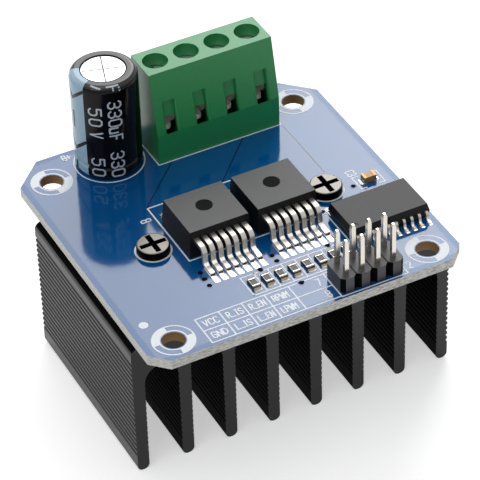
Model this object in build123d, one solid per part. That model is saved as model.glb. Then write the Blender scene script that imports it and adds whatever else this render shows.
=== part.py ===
from build123d import *
import math
import os

# A dual half-bridge DC motor driver module: a square circuit board screwed on top of a finned
# heat sink. Millimetres. X runs along the front edge, Y to the back edge, Z up. The origin is
# on the surface that the fin tips stand on, under the middle of the board.

# Circuit board
BOARD_WIDTH = 50.0
BOARD_DEPTH = 50.0
BOARD_THICKNESS = 1.6
FRONT_CORNER_CUT = 2.5
BACK_CORNER_CUT = 4.7
MOUNT_HOLE_DIAMETER = 3.5
MOUNT_SIDE_MARGIN = 4.68
MOUNT_FRONT_MARGIN = 3.68
MOUNT_BACK_MARGIN = 5.68
LEAD_HOLE_CLEARANCE = 0.2

# Heat sink
SINK_OVERHANG = 0.75
SINK_FRONT_MARGIN = 6.5
SINK_BACK_MARGIN = 11.0
SINK_BASE = 4.3
FIN_LENGTH = 18.8
FIN_COUNT = 8
FIN_PITCH = 7.03
FIN_TIP_THICKNESS = 1.85
FIN_ROOT_THICKNESS = 2.0
SINK_CORNER_RADIUS = 1.2
RIB_PITCH = 0.95
RIB_DEPTH = 0.3
GAP_RIB_DEPTH = 0.15
RIB_PLAIN_TOP = 2.6
RIB_PLAIN_TIP = 3.0
PAD_THICKNESS = 0.3
PAD_MARGIN = 1.5

# Screws that hold the board to the heat sink
CLAMP_SCREW_SPACING = 28.3
CLAMP_SCREW_SETBACK = 0.3
SCREW_DIAMETER = 3.0
SCREW_HEAD_DIAMETER = 4.95
SCREW_HEAD_HEIGHT = 1.3
SCREW_DEPTH_IN_SINK = 3.9
SCREW_CLEARANCE = 0.15
THREAD_CLEARANCE = 0.03
RECESS_WIDTH = 0.85
RECESS_SPAN = 4.1
RECESS_DEPTH = 0.9
RECESS_TAPER = 12.0

# Terminal block
POLE_COUNT = 4
POLE_PITCH = 5.08
TERMINAL_X = 5.7
TERMINAL_BACK_MARGIN = 1.5
TERMINAL_DEPTH = 8.15
TERMINAL_HEIGHT = 14.9
TERMINAL_STEP_HEIGHT = 5.05
TERMINAL_TOP_DEPTH = 6.0
WELL_DIAMETER = 3.9
POLE_WALL = 0.85
WIRE_SLOT_WIDTH = 1.9
WIRE_SLOT_HEIGHT = 5.2
WIRE_WAY_HEIGHT = 2.4
SLOT_RECESS_DEPTH = 0.7
FRONT_WALL = 0.8
SLOT_BEVEL = 0.2
CLAMP_SCREW_HEAD = 4.1
CLAMP_HEAD_HEIGHT = 0.95
CLAMP_HEAD_SINK = 2.25
CLAMP_SHANK = 2.4
CLAMP_SLOT_WIDTH = 0.7
CLAMP_SLOT_DEPTH = 0.5
CLAMP_SLOT_ANGLES = (90, 15, 95, 155)
CLAMP_TRAVEL = 2.0
CAGE_WALL = 0.7
CAGE_CLEARANCE = 0.12
CAGE_DEPTH = 3.0
CAGE_ROOF = 1.2
CAGE_BEND = 0.45
CAGE_LIP = 1.7
CAGE_LIP_WIDTH = 1.6
BAR_THICKNESS = 0.6
BAR_WIDTH = 2.2
PIN_WIDTH = 1.0
PIN_PROTRUSION = 2.0

# Radial capacitor
CAN_RADIUS = 4.98
CAN_HEIGHT = 16.9
CAN_X = -10.6
CAN_BACK_MARGIN = 0.05
CAN_SHOULDER = 0.9
CAN_GROOVE_HEIGHT = 2.2
CAN_GROOVE_RADIUS = 0.5
SLEEVE_THICKNESS = 0.12
SLEEVE_TOP_OPENING = 3.5
SCORE_LENGTH = 6.3
SCORE_WIDTH = 0.25
SCORE_DEPTH = 0.12
SCORE_ANGLES = (-18, 72)
SEAL_HEIGHT = 1.2
CAP_LEAD_SPACING = 5.0
CAP_LEAD_DIAMETER = 0.6

# Power driver chips
DRIVER_X = 0.1
DRIVER_PITCH = 11.0
DRIVER_RESISTOR_GAP = 3.7
DRIVER_WIDTH = 10.0
DRIVER_LENGTH = 9.2
DRIVER_HEIGHT = 4.4
DRIVER_DRAFT = 4.0
DRIVER_LEAD_COUNT = 7
DRIVER_LEAD_PITCH = 1.27
DRIVER_LEAD_WIDTH = 0.75
DRIVER_LEAD_THICKNESS = 0.5
DRIVER_LEAD_EXIT = 2.95
DRIVER_LEAD_OUT = 2.3
DRIVER_LEAD_REACH = 4.85
DRIVER_FOOT = 2.3
DRIVER_LEAD_BEND = 0.85
TAB_WIDTH = 8.4
TAB_THICKNESS = 1.27
TAB_REACH = 1.5
TAB_INSET = 6.0
MARK_DIAMETER = 2.6
MARK_DEPTH = 0.08
MARK_SHIFT_Y = 0.5
LEAD_ROOT = 0.3

# Logic chip
LOGIC_X = 17.9
LOGIC_HEADER_GAP = 2.52
LOGIC_WIDTH = 12.8
LOGIC_LENGTH = 7.5
LOGIC_HEIGHT = 2.5
LOGIC_STANDOFF = 0.2
LOGIC_DRAFT = 15.0
LOGIC_LEAD_COUNT = 10
LOGIC_LEAD_PITCH = 1.27
LOGIC_LEAD_WIDTH = 0.42
LOGIC_LEAD_THICKNESS = 0.25
LOGIC_LEAD_OUT = 0.35
LOGIC_LEAD_REACH = 1.4
LOGIC_FOOT = 0.8
LOGIC_LEAD_BEND = 0.3
DIMPLE_DIAMETER = 0.9
DIMPLE_DEPTH = 0.06
DIMPLE_INSET = 1.0

# Chip resistors and the ceramic capacitor
RESISTOR_COUNT = 8
RESISTOR_PITCH = 2.17
RESISTOR_X = -5.07
RESISTOR_HEADER_GAP = 1.97
CHIP_LENGTH = 2.0
CHIP_WIDTH = 1.25
RESISTOR_HEIGHT = 0.55
CERAMIC_HEIGHT = 1.05
CERAMIC_X = 20.9
CERAMIC_LOGIC_GAP = 2.525
END_CAP_LENGTH = 0.4
END_CAP_THICKNESS = 0.06

# Pin header
HEADER_COLUMNS = 4
HEADER_ROWS = 2
HEADER_PITCH = 2.54
HEADER_X = 9.88
HEADER_FRONT_MARGIN = 0.75
HEADER_BASE_HEIGHT = 2.54
HEADER_CORNER_CUT = 0.6
HEADER_PIN_WIDTH = 0.64
HEADER_PIN_ABOVE = 6.0
HEADER_PIN_BELOW = 1.6
HEADER_PIN_TAPER = 0.5
HEADER_TAPER_ANGLE = 16

# Solder on the underside
SOLDER_SPREAD = 0.75
SOLDER_HEIGHT = 1.1

# How far a cut runs past the surface that it opens, and how near a rounding comes to a full round
CUT_OVER = 1.0
ROUNDING_SHARE = 0.95

# Levels and places worked out from the sizes above
SINK_TOP = FIN_LENGTH + SINK_BASE
BOARD_BOTTOM = SINK_TOP + PAD_THICKNESS
BOARD_TOP = BOARD_BOTTOM + BOARD_THICKNESS
MOUNT_SPACING_X = BOARD_WIDTH - 2 * MOUNT_SIDE_MARGIN
MOUNT_SPACING_Y = BOARD_DEPTH - MOUNT_FRONT_MARGIN - MOUNT_BACK_MARGIN
MOUNT_SHIFT_Y = (MOUNT_FRONT_MARGIN - MOUNT_BACK_MARGIN) / 2
SINK_WIDTH = BOARD_WIDTH + 2 * SINK_OVERHANG
SINK_DEPTH = BOARD_DEPTH - SINK_FRONT_MARGIN - SINK_BACK_MARGIN
SINK_SHIFT_Y = (SINK_FRONT_MARGIN - SINK_BACK_MARGIN) / 2
TERMINAL_BACK = BOARD_DEPTH / 2 - TERMINAL_BACK_MARGIN
TERMINAL_FRONT = TERMINAL_BACK - TERMINAL_DEPTH
TERMINAL_WIDTH = POLE_COUNT * POLE_PITCH
CLAMP_Y = TERMINAL_BACK - TERMINAL_TOP_DEPTH / 2
CAN_Y = BOARD_DEPTH / 2 - CAN_BACK_MARGIN - CAN_RADIUS - SLEEVE_THICKNESS
HEADER_Y = -BOARD_DEPTH / 2 + HEADER_FRONT_MARGIN + HEADER_ROWS * HEADER_PITCH / 2
HEADER_BACK = HEADER_Y + HEADER_ROWS * HEADER_PITCH / 2
RESISTOR_Y = HEADER_BACK + RESISTOR_HEADER_GAP + CHIP_LENGTH / 2
DRIVER_LEADS_FRONT = RESISTOR_Y + CHIP_LENGTH / 2 + DRIVER_RESISTOR_GAP
DRIVER_Y = DRIVER_LEADS_FRONT + DRIVER_LEAD_REACH + DRIVER_LENGTH / 2
CLAMP_SCREW_Y = DRIVER_Y - CLAMP_SCREW_SETBACK
LOGIC_Y = HEADER_BACK + LOGIC_HEADER_GAP + LOGIC_LEAD_REACH + LOGIC_LENGTH / 2
LOGIC_LEADS_BACK = LOGIC_Y + LOGIC_LENGTH / 2 + LOGIC_LEAD_REACH
CERAMIC_Y = LOGIC_LEADS_BACK + CERAMIC_LOGIC_GAP + CHIP_WIDTH / 2

# Levels inside one terminal pole, above the board
SCREW_HEAD_TOP = TERMINAL_HEIGHT - CLAMP_HEAD_SINK
SCREW_HEAD_BOTTOM = SCREW_HEAD_TOP - CLAMP_HEAD_HEIGHT
POCKET_TOP = SCREW_HEAD_BOTTOM - CAGE_CLEARANCE / 2
CAGE_TOP = POCKET_TOP - CAGE_CLEARANCE - CLAMP_TRAVEL
BAR_TOP = CAGE_TOP - CAGE_ROOF - CAGE_CLEARANCE
BAR_BOTTOM = BAR_TOP - BAR_THICKNESS
CAGE_FLOOR_TOP = TERMINAL_STEP_HEIGHT
CAGE_BOTTOM = CAGE_FLOOR_TOP - CAGE_WALL


def spread(count, pitch):
    """Positions of count things at one pitch, centred on zero."""
    return [(i - (count - 1) / 2) * pitch for i in range(count)]


def pole_x(i):
    """Middle of one pole of the terminal block."""
    return TERMINAL_X + spread(POLE_COUNT, POLE_PITCH)[i]


def driver_x(i):
    """Middle of one power driver chip."""
    return DRIVER_X + spread(2, DRIVER_PITCH)[i]


def header_places():
    """Pin centres of the header, front row first."""
    return [
        (HEADER_X + x, HEADER_Y + y)
        for y in spread(HEADER_ROWS, HEADER_PITCH)
        for x in spread(HEADER_COLUMNS, HEADER_PITCH)
    ]


def clamp_screw_places():
    """Centres of the two screws that hold the board to the heat sink."""
    return [(x, CLAMP_SCREW_Y) for x in spread(2, CLAMP_SCREW_SPACING)]


def bar_leg_y():
    """Middle of a contact bar's leg and of its solder pin."""
    return CLAMP_Y + CAGE_DEPTH / 2 + CAGE_CLEARANCE + BAR_THICKNESS / 2


def cap_lead_places():
    """Centres of the capacitor's two leads."""
    return [(CAN_X + x, CAN_Y) for x in spread(2, CAP_LEAD_SPACING)]


def circuit_board():
    """Square laminate with its corners cut off and a hole for every pin and screw."""
    board = Box(BOARD_WIDTH, BOARD_DEPTH, BOARD_THICKNESS)
    corners = board.edges().filter_by(Axis.Z).group_by(Axis.Y)
    board = chamfer(corners[0], FRONT_CORNER_CUT)
    corners = board.edges().filter_by(Axis.Z).filter_by(lambda e: e.center().Y > 0)
    board = chamfer(corners, BACK_CORNER_CUT)
    board = Pos(0, 0, BOARD_BOTTOM + BOARD_THICKNESS / 2) * board
    return board - board_holes()


def board_holes():
    """Every hole through the board: mounting, clamp screws and component leads."""
    pin_circle = math.hypot(PIN_WIDTH, BAR_THICKNESS)
    header_circle = HEADER_PIN_WIDTH * math.sqrt(2)
    mount = GridLocations(MOUNT_SPACING_X, MOUNT_SPACING_Y, 2, 2)
    holes = [(Pos(0, MOUNT_SHIFT_Y) * place, MOUNT_HOLE_DIAMETER) for place in mount]
    holes += [(Pos(x, y), SCREW_DIAMETER + 2 * SCREW_CLEARANCE) for x, y in clamp_screw_places()]
    holes += [(Pos(x, y), header_circle + LEAD_HOLE_CLEARANCE) for x, y in header_places()]
    holes += [(Pos(pole_x(i), bar_leg_y()), pin_circle + LEAD_HOLE_CLEARANCE) for i in range(POLE_COUNT)]
    holes += [(Pos(x, y), CAP_LEAD_DIAMETER + LEAD_HOLE_CLEARANCE) for x, y in cap_lead_places()]
    middle = Pos(0, 0, BOARD_BOTTOM + BOARD_THICKNESS / 2)
    return [middle * place * Cylinder(across / 2, 2 * BOARD_THICKNESS) for place, across in holes]


def fin_places():
    """Middle of each fin's tip: even inside, with the outer two flush with the sides."""
    places = spread(FIN_COUNT, FIN_PITCH)
    places[-1] = SINK_WIDTH / 2 - FIN_TIP_THICKNESS / 2
    places[0] = -places[-1]
    return places


def half_gap(left, right):
    """Half width of the gap between two fins, at its mouth and at its root."""
    mouth = (right - left - FIN_TIP_THICKNESS) / 2
    return mouth, mouth - (FIN_ROOT_THICKNESS - FIN_TIP_THICKNESS) / 2


def sink_gap(left, right):
    """Section of the gap between two fins: a little wider at its mouth, with a round root."""
    mouth, root = half_gap(left, right)
    centre = FIN_LENGTH - root
    flare = Polygon(
        (-mouth, -CUT_OVER),
        (mouth, -CUT_OVER),
        (root, centre),
        (-root, centre),
        align=None,
    )
    return Pos((left + right) / 2, 0) * (flare + Pos(0, centre) * Circle(root))


def groove_heights(top):
    """Heights of the V grooves on one face, from near the fin tips to this height."""
    ribbed = top - RIB_PLAIN_TIP
    count = int(ribbed / RIB_PITCH) + 1
    return [RIB_PLAIN_TIP + ribbed / 2 + z for z in spread(count, RIB_PITCH)]


def v_groove(x, z, depth):
    """Section of one V groove of this depth in an upright face at x."""
    edge = depth * math.sqrt(2)
    return Pos(x, z) * Rectangle(edge, edge, rotation=45)


def side_grooves():
    """V grooves along both outer sides, which leave fine ribs between them."""
    heights = groove_heights(SINK_TOP - RIB_PLAIN_TOP)
    return [v_groove(side * SINK_WIDTH / 2, z, RIB_DEPTH) for side in (-1, 1) for z in heights]


def gap_grooves(left, right):
    """Shallower V grooves on both faces of one gap, below its round root."""
    mouth, root = half_gap(left, right)
    centre = FIN_LENGTH - root
    grooves = []
    for z in groove_heights(centre):
        across = mouth + (root - mouth) * (z + CUT_OVER) / (centre + CUT_OVER)
        grooves += [v_groove((left + right) / 2 + side * across, z, GAP_RIB_DEPTH) for side in (-1, 1)]
    return grooves


def heat_sink():
    """Extruded section with fins along Y, and two tapped holes for the clamp screws."""
    section = Pos(0, SINK_TOP / 2) * Rectangle(SINK_WIDTH, SINK_TOP)
    fins = fin_places()
    section -= [sink_gap(a, b) for a, b in zip(fins, fins[1:])]
    section = fillet(section.vertices().group_by(Axis.Y)[-1], SINK_CORNER_RADIUS)
    section = fillet(section.vertices().group_by(Axis.Y)[0], FIN_TIP_THICKNESS / 2 * ROUNDING_SHARE)
    section -= side_grooves()
    section -= [groove for a, b in zip(fins, fins[1:]) for groove in gap_grooves(a, b)]
    standing = Plane(origin=(0, SINK_SHIFT_Y + SINK_DEPTH / 2, 0), x_dir=(1, 0, 0), z_dir=(0, -1, 0))
    sink = extrude(standing * section, SINK_DEPTH)
    tapped = Cylinder(SCREW_DIAMETER / 2 + THREAD_CLEARANCE, 2 * (SINK_BASE + CUT_OVER))
    return sink - [Pos(x, y, SINK_TOP) * tapped for x, y in clamp_screw_places()]


def thermal_pad():
    """Soft sheet that carries heat from under both driver chips into the heat sink."""
    width = DRIVER_PITCH + DRIVER_WIDTH + 2 * PAD_MARGIN
    depth = DRIVER_LENGTH + 2 * PAD_MARGIN
    return Pos(DRIVER_X, DRIVER_Y, SINK_TOP + PAD_THICKNESS / 2) * Box(width, depth, PAD_THICKNESS)


def clamp_screw(x, y):
    """Pan head screw with a wide cross recess, its shank through the board into the sink."""
    upward = (Align.CENTER, Align.CENTER, Align.MIN)
    downward = (Align.CENTER, Align.CENTER, Align.MAX)
    head = Cylinder(SCREW_HEAD_DIAMETER / 2, SCREW_HEAD_HEIGHT, align=upward)
    head = fillet(head.edges().group_by(Axis.Z)[-1], SCREW_HEAD_HEIGHT / 5)
    reach = BOARD_THICKNESS + PAD_THICKNESS + SCREW_DEPTH_IN_SINK
    screw = head + Cylinder(SCREW_DIAMETER / 2, reach, align=downward)
    arm = extrude(Rectangle(RECESS_SPAN, RECESS_WIDTH), -RECESS_DEPTH, taper=RECESS_TAPER)
    cross = Pos(0, 0, SCREW_HEAD_HEIGHT) * (arm + Rot(0, 0, 90) * arm)
    return Pos(x, y, BOARD_TOP) * (screw - cross)


def heat_sink_screws():
    """The two screws that clamp the board, the pad and the heat sink together."""
    return Compound([clamp_screw(x, y) for x, y in clamp_screw_places()])


def front_face_y(height):
    """Y of the terminal block's sloped front at a height above the board."""
    rise = (height - TERMINAL_STEP_HEIGHT) / (TERMINAL_HEIGHT - TERMINAL_STEP_HEIGHT)
    return TERMINAL_FRONT + rise * (TERMINAL_DEPTH - TERMINAL_TOP_DEPTH)


def across_x(outline, width):
    """Solid of a (y, z) outline above the board, centred on x = 0 with this width."""
    side = Plane(origin=(-width / 2, 0, BOARD_TOP), x_dir=(0, 1, 0), z_dir=(1, 0, 0))
    return extrude(side * outline, width)


def pocket_front():
    """Y of the front wall of a pole's pocket."""
    return CLAMP_Y - CAGE_DEPTH / 2 - CAGE_CLEARANCE


def pole_space():
    """Room inside one pole: wire slot, cage pocket, screw head chamber and screw well."""
    way_top = TERMINAL_STEP_HEIGHT + WIRE_WAY_HEIGHT
    slot_top = TERMINAL_STEP_HEIGHT + WIRE_SLOT_HEIGHT
    sill = TERMINAL_STEP_HEIGHT - FRONT_WALL
    wire_way = Polygon(
        (TERMINAL_FRONT - CUT_OVER, TERMINAL_STEP_HEIGHT),
        (TERMINAL_FRONT, TERMINAL_STEP_HEIGHT),
        (TERMINAL_FRONT + FRONT_WALL, sill),
        (pocket_front(), sill),
        (pocket_front(), way_top),
        (front_face_y(way_top) + SLOT_RECESS_DEPTH, way_top),
        (front_face_y(slot_top) + SLOT_RECESS_DEPTH, slot_top),
        (TERMINAL_FRONT - CUT_OVER, slot_top),
        align=None,
    )
    lip_room = Polygon(
        (TERMINAL_FRONT + FRONT_WALL, 0),
        (CLAMP_Y, 0),
        (CLAMP_Y, way_top),
        (front_face_y(way_top) + FRONT_WALL, way_top),
        (TERMINAL_FRONT + FRONT_WALL, TERMINAL_STEP_HEIGHT),
        align=None,
    )
    pocket_back = bar_leg_y() + BAR_THICKNESS / 2
    pocket = Box(
        POLE_PITCH - POLE_WALL,
        pocket_back - pocket_front(),
        POCKET_TOP,
        align=(Align.CENTER, Align.MIN, Align.MIN),
    )
    upward = (Align.CENTER, Align.CENTER, Align.MIN)
    chamber = Cylinder(
        CLAMP_SCREW_HEAD / 2 + CAGE_CLEARANCE,
        SCREW_HEAD_TOP + CAGE_CLEARANCE - POCKET_TOP,
        align=upward,
    )
    well = Cylinder(WELL_DIAMETER / 2, TERMINAL_HEIGHT, align=upward)
    return (
        across_x(wire_way, WIRE_SLOT_WIDTH)
        + across_x(lip_room, POLE_PITCH - POLE_WALL)
        + Pos(0, pocket_front(), BOARD_TOP) * pocket
        + Pos(0, CLAMP_Y, BOARD_TOP + POCKET_TOP) * (chamber + well)
    )


def slot_bevels():
    """Wedges that bevel both upright edges of one wire slot in the sloped front."""
    rise = TERMINAL_HEIGHT - TERMINAL_STEP_HEIGHT
    run = TERMINAL_DEPTH - TERMINAL_TOP_DEPTH
    tilt = math.degrees(math.atan2(run, rise))
    edge = SLOT_BEVEL * math.sqrt(2)
    length = WIRE_SLOT_HEIGHT / math.cos(math.radians(tilt))
    middle = TERMINAL_STEP_HEIGHT + WIRE_SLOT_HEIGHT / 2
    wedge = Rot(-tilt, 0, 0) * Rot(0, 0, 45) * Box(edge, edge, length)
    return [Pos(x, front_face_y(middle), BOARD_TOP + middle) * wedge for x in spread(2, WIRE_SLOT_WIDTH)]


def terminal_housing():
    """One moulding for all poles, open underneath, with a sloped front above a step."""
    outline = Polygon(
        (TERMINAL_FRONT, 0),
        (TERMINAL_BACK, 0),
        (TERMINAL_BACK, TERMINAL_HEIGHT),
        (front_face_y(TERMINAL_HEIGHT), TERMINAL_HEIGHT),
        (TERMINAL_FRONT, TERMINAL_STEP_HEIGHT),
        align=None,
    )
    housing = Pos(TERMINAL_X, 0) * across_x(outline, TERMINAL_WIDTH)
    cuts = [pole_space()] + slot_bevels()
    return housing - [Pos(pole_x(i), 0) * cut for i in range(POLE_COUNT) for cut in cuts]


def terminal_cage(i):
    """Clamp cage of one pole: a bent ring with a tapped roof and a rounded front lip."""
    width = POLE_PITCH - POLE_WALL - 2 * CAGE_CLEARANCE
    height = CAGE_TOP - CAGE_BOTTOM
    window_height = CAGE_TOP - CAGE_ROOF - CAGE_FLOOR_TOP
    ring = RectangleRounded(width, height, CAGE_BEND)
    window = Pos(0, (CAGE_WALL - CAGE_ROOF) / 2) * Rectangle(width - 2 * CAGE_WALL, window_height)
    standing = Plane(origin=(0, CAGE_DEPTH / 2, 0), x_dir=(1, 0, 0), z_dir=(0, -1, 0))
    cage = extrude(standing * (ring - window), CAGE_DEPTH)
    lip = RectangleRounded(CAGE_LIP_WIDTH, 2 * CAGE_LIP, CAGE_LIP_WIDTH / 2 * ROUNDING_SHARE)
    lip = Pos(0, -CAGE_DEPTH / 2, -height / 2) * extrude(lip, CAGE_WALL)
    bore = Pos(0, 0, height / 2) * Cylinder(CLAMP_SHANK / 2 + THREAD_CLEARANCE, 3 * CAGE_ROOF)
    middle = BOARD_TOP + (CAGE_TOP + CAGE_BOTTOM) / 2
    return Pos(pole_x(i), CLAMP_Y, middle) * (cage + lip - bore)


def terminal_screw(i):
    """Clamp screw of one pole: slotted head, shank through the cage, tip on the contact bar."""
    upward = (Align.CENTER, Align.CENTER, Align.MIN)
    downward = (Align.CENTER, Align.CENTER, Align.MAX)
    head = Cylinder(CLAMP_SCREW_HEAD / 2, CLAMP_HEAD_HEIGHT, align=upward)
    head = chamfer(head.edges().group_by(Axis.Z)[-1], CLAMP_HEAD_HEIGHT / 6)
    shank = Cylinder(CLAMP_SHANK / 2, SCREW_HEAD_BOTTOM - BAR_TOP, align=downward)
    slot = Box(2 * CLAMP_SCREW_HEAD, CLAMP_SLOT_WIDTH, 2 * CLAMP_SLOT_DEPTH)
    screw = head + shank - Pos(0, 0, CLAMP_HEAD_HEIGHT) * slot
    turned = Rot(0, 0, CLAMP_SLOT_ANGLES[i % len(CLAMP_SLOT_ANGLES)]) * screw
    return Pos(pole_x(i), CLAMP_Y, BOARD_TOP + SCREW_HEAD_BOTTOM) * turned


def terminal_contact(i):
    """Bent strip of one pole: a bar inside the cage, a leg behind it and a solder pin."""
    leg_back = bar_leg_y() + BAR_THICKNESS / 2
    bar_front = CLAMP_Y - CAGE_DEPTH / 2
    strip = Polygon(
        (bar_front, BAR_BOTTOM),
        (leg_back - BAR_THICKNESS, BAR_BOTTOM),
        (leg_back - BAR_THICKNESS, 0),
        (leg_back, 0),
        (leg_back, BAR_TOP),
        (bar_front, BAR_TOP),
        align=None,
    )
    pin_length = BOARD_THICKNESS + PIN_PROTRUSION
    pin = Box(PIN_WIDTH, BAR_THICKNESS, pin_length, align=(Align.CENTER, Align.CENTER, Align.MAX))
    contact = across_x(strip, BAR_WIDTH) + Pos(0, bar_leg_y(), BOARD_TOP) * pin
    return Pos(pole_x(i), 0) * contact


def can_section():
    """Half section of the capacitor's can: rounded shoulder and a crimp groove near its foot."""
    section = Rectangle(CAN_RADIUS, CAN_HEIGHT - SLEEVE_THICKNESS, align=(Align.MIN, Align.MIN))
    outer = section.vertices().group_by(Axis.X)[-1]
    section = fillet(outer, CAN_SHOULDER)
    return section - Pos(CAN_RADIUS + CAN_GROOVE_RADIUS / 2, CAN_GROOVE_HEIGHT) * Circle(CAN_GROOVE_RADIUS)


def upright(section):
    """A half section turned about the capacitor's axis, standing on the board."""
    half = Plane(origin=(CAN_X, CAN_Y, BOARD_TOP + SLEEVE_THICKNESS), x_dir=(1, 0, 0), z_dir=(0, -1, 0))
    return revolve(half * section, Axis((CAN_X, CAN_Y, 0), (0, 0, 1)), 360)


def seal_section():
    """Half section of the rubber seal, flush with the can's foot."""
    return Rectangle(CAN_RADIUS - CAN_SHOULDER, SEAL_HEIGHT, align=(Align.MIN, Align.MIN))


def capacitor_can():
    """Aluminium can with cross scores on its top, open below where the seal sits."""
    can = upright(can_section() - seal_section())
    score = Box(SCORE_LENGTH, SCORE_WIDTH, 2 * SCORE_DEPTH)
    top = Pos(CAN_X, CAN_Y, BOARD_TOP + CAN_HEIGHT)
    return can - [top * Rot(0, 0, angle) * score for angle in SCORE_ANGLES]


def capacitor_sleeve():
    """Thin printed sleeve shrunk over the can, folded in at both ends."""
    skin = offset(can_section(), SLEEVE_THICKNESS) - can_section()
    inside = Rectangle(4 * CAN_RADIUS, 4 * CAN_HEIGHT, align=(Align.MAX, Align.CENTER))
    middle = Rectangle(SLEEVE_TOP_OPENING, 4 * CAN_HEIGHT, align=(Align.MIN, Align.CENTER))
    return upright(skin - inside - middle)


def capacitor_seal():
    """Rubber plug in the can's foot, with a hole for each lead."""
    lead = Cylinder(CAP_LEAD_DIAMETER / 2, 4 * SEAL_HEIGHT)
    return upright(seal_section()) - [Pos(x, y, BOARD_TOP) * lead for x, y in cap_lead_places()]


def capacitor_leads():
    """Two round leads from the seal down through the board."""
    below = BOARD_THICKNESS + PIN_PROTRUSION
    lead = Cylinder(
        CAP_LEAD_DIAMETER / 2,
        SLEEVE_THICKNESS + SEAL_HEIGHT + below,
        align=(Align.CENTER, Align.CENTER, Align.MIN),
    )
    return Compound([Pos(x, y, BOARD_TOP - below) * lead for x, y in cap_lead_places()])


def gull_lead(exit_height, out, reach, foot, bend, width, thickness):
    """Strip that leaves a body at y = 0 towards -Y, bends down and ends in a flat foot."""
    foot_height = thickness / 2
    path = FilletPolyline(
        (0, 0, exit_height),
        (0, -out, exit_height),
        (0, foot - reach, foot_height),
        (0, -reach, foot_height),
        radius=bend,
    )
    start = Plane(origin=path @ 0, x_dir=(1, 0, 0), z_dir=path % 0)
    return sweep(start * Rectangle(width, thickness), path=path)


def driver_tab_box(i):
    """Heat tab of one driver as a plate, with its back corners cut."""
    length = TAB_INSET + TAB_REACH
    tab = Box(TAB_WIDTH, length, TAB_THICKNESS, align=(Align.CENTER, Align.MAX, Align.MIN))
    back = tab.edges().filter_by(Axis.Z).group_by(Axis.Y)[-1]
    tab = chamfer(back, TAB_REACH / 2)
    return Pos(driver_x(i), DRIVER_Y + DRIVER_LENGTH / 2 + TAB_REACH, BOARD_TOP) * tab


def driver_body(i):
    """Moulded body with drafted sides, a round ejector mark and room for the tab below."""
    body = extrude(Rectangle(DRIVER_WIDTH, DRIVER_LENGTH), DRIVER_HEIGHT, taper=DRIVER_DRAFT)
    mark = Pos(0, MARK_SHIFT_Y, DRIVER_HEIGHT) * Cylinder(MARK_DIAMETER / 2, 2 * MARK_DEPTH)
    body = Pos(driver_x(i), DRIVER_Y, BOARD_TOP) * (body - mark)
    return body - driver_tab_box(i) - driver_leads(i)


def driver_leads(i):
    """Row of gull-wing leads along one driver's front edge, let into its body."""
    lead = gull_lead(
        DRIVER_LEAD_EXIT,
        DRIVER_LEAD_OUT + LEAD_ROOT,
        DRIVER_LEAD_REACH + LEAD_ROOT,
        DRIVER_FOOT,
        DRIVER_LEAD_BEND,
        DRIVER_LEAD_WIDTH,
        DRIVER_LEAD_THICKNESS,
    )
    front = Pos(driver_x(i), DRIVER_Y - DRIVER_LENGTH / 2 + LEAD_ROOT, BOARD_TOP)
    return Compound([front * Pos(x, 0) * lead for x in spread(DRIVER_LEAD_COUNT, DRIVER_LEAD_PITCH)])


def logic_body():
    """Moulded body, drafted up and down from its parting line, with a pin-one dimple."""
    upper = LOGIC_HEIGHT - logic_parting()
    lower = logic_parting() - LOGIC_STANDOFF
    outline = Rectangle(LOGIC_WIDTH, LOGIC_LENGTH)
    body = extrude(outline, upper, taper=LOGIC_DRAFT) + extrude(outline, -lower, taper=LOGIC_DRAFT)
    dimple = Cylinder(DIMPLE_DIAMETER / 2, 2 * DIMPLE_DEPTH)
    body -= Pos(DIMPLE_INSET - LOGIC_WIDTH / 2, DIMPLE_INSET - LOGIC_LENGTH / 2, upper) * dimple
    return Pos(LOGIC_X, LOGIC_Y, BOARD_TOP + logic_parting()) * body - logic_leads()


def logic_parting():
    """Height of the parting line, where the leads leave the body."""
    return (LOGIC_HEIGHT + LOGIC_STANDOFF) / 2


def logic_leads():
    """Gull-wing leads along both long sides of the logic chip."""
    lead = gull_lead(
        logic_parting(),
        LOGIC_LEAD_OUT + LEAD_ROOT,
        LOGIC_LEAD_REACH + LEAD_ROOT,
        LOGIC_FOOT,
        LOGIC_LEAD_BEND,
        LOGIC_LEAD_WIDTH,
        LOGIC_LEAD_THICKNESS,
    )
    middle = Pos(LOGIC_X, LOGIC_Y, BOARD_TOP)
    side = Pos(0, LEAD_ROOT - LOGIC_LENGTH / 2)
    places = spread(LOGIC_LEAD_COUNT, LOGIC_LEAD_PITCH)
    return Compound([middle * Rot(0, 0, turn) * side * Pos(x, 0) * lead for turn in (0, 180) for x in places])


def chip_body(length, width, height):
    """Ceramic block of a surface-mounted chip part, inside its end caps."""
    skin = 2 * END_CAP_THICKNESS
    return Pos(0, 0, height / 2) * Box(width - skin, length - skin, height - skin)


def chip_caps(length, width, height):
    """Metal caps that wrap both ends of a chip part."""
    cap = Pos(0, 0, height / 2) * Box(width, END_CAP_LENGTH, height)
    shift = (length - END_CAP_LENGTH) / 2
    block = chip_body(length, width, height)
    return Compound([Pos(0, y) * cap - block for y in (-shift, shift)])


def resistor_place(i):
    """Where one resistor of the row stands."""
    return Pos(RESISTOR_X + i * RESISTOR_PITCH, RESISTOR_Y, BOARD_TOP)


def header_base():
    """Moulded header base: one block for each column, its corners cut."""
    unit = Rectangle(HEADER_PITCH, HEADER_ROWS * HEADER_PITCH)
    unit = chamfer(unit.vertices(), HEADER_CORNER_CUT)
    base = Sketch() + [Pos(x, 0) * unit for x in spread(HEADER_COLUMNS, HEADER_PITCH)]
    base = Pos(HEADER_X, HEADER_Y, BOARD_TOP) * extrude(base, HEADER_BASE_HEIGHT)
    hole = Box(HEADER_PIN_WIDTH, HEADER_PIN_WIDTH, 4 * HEADER_BASE_HEIGHT)
    return base - [Pos(x, y, BOARD_TOP) * hole for x, y in header_places()]


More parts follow.
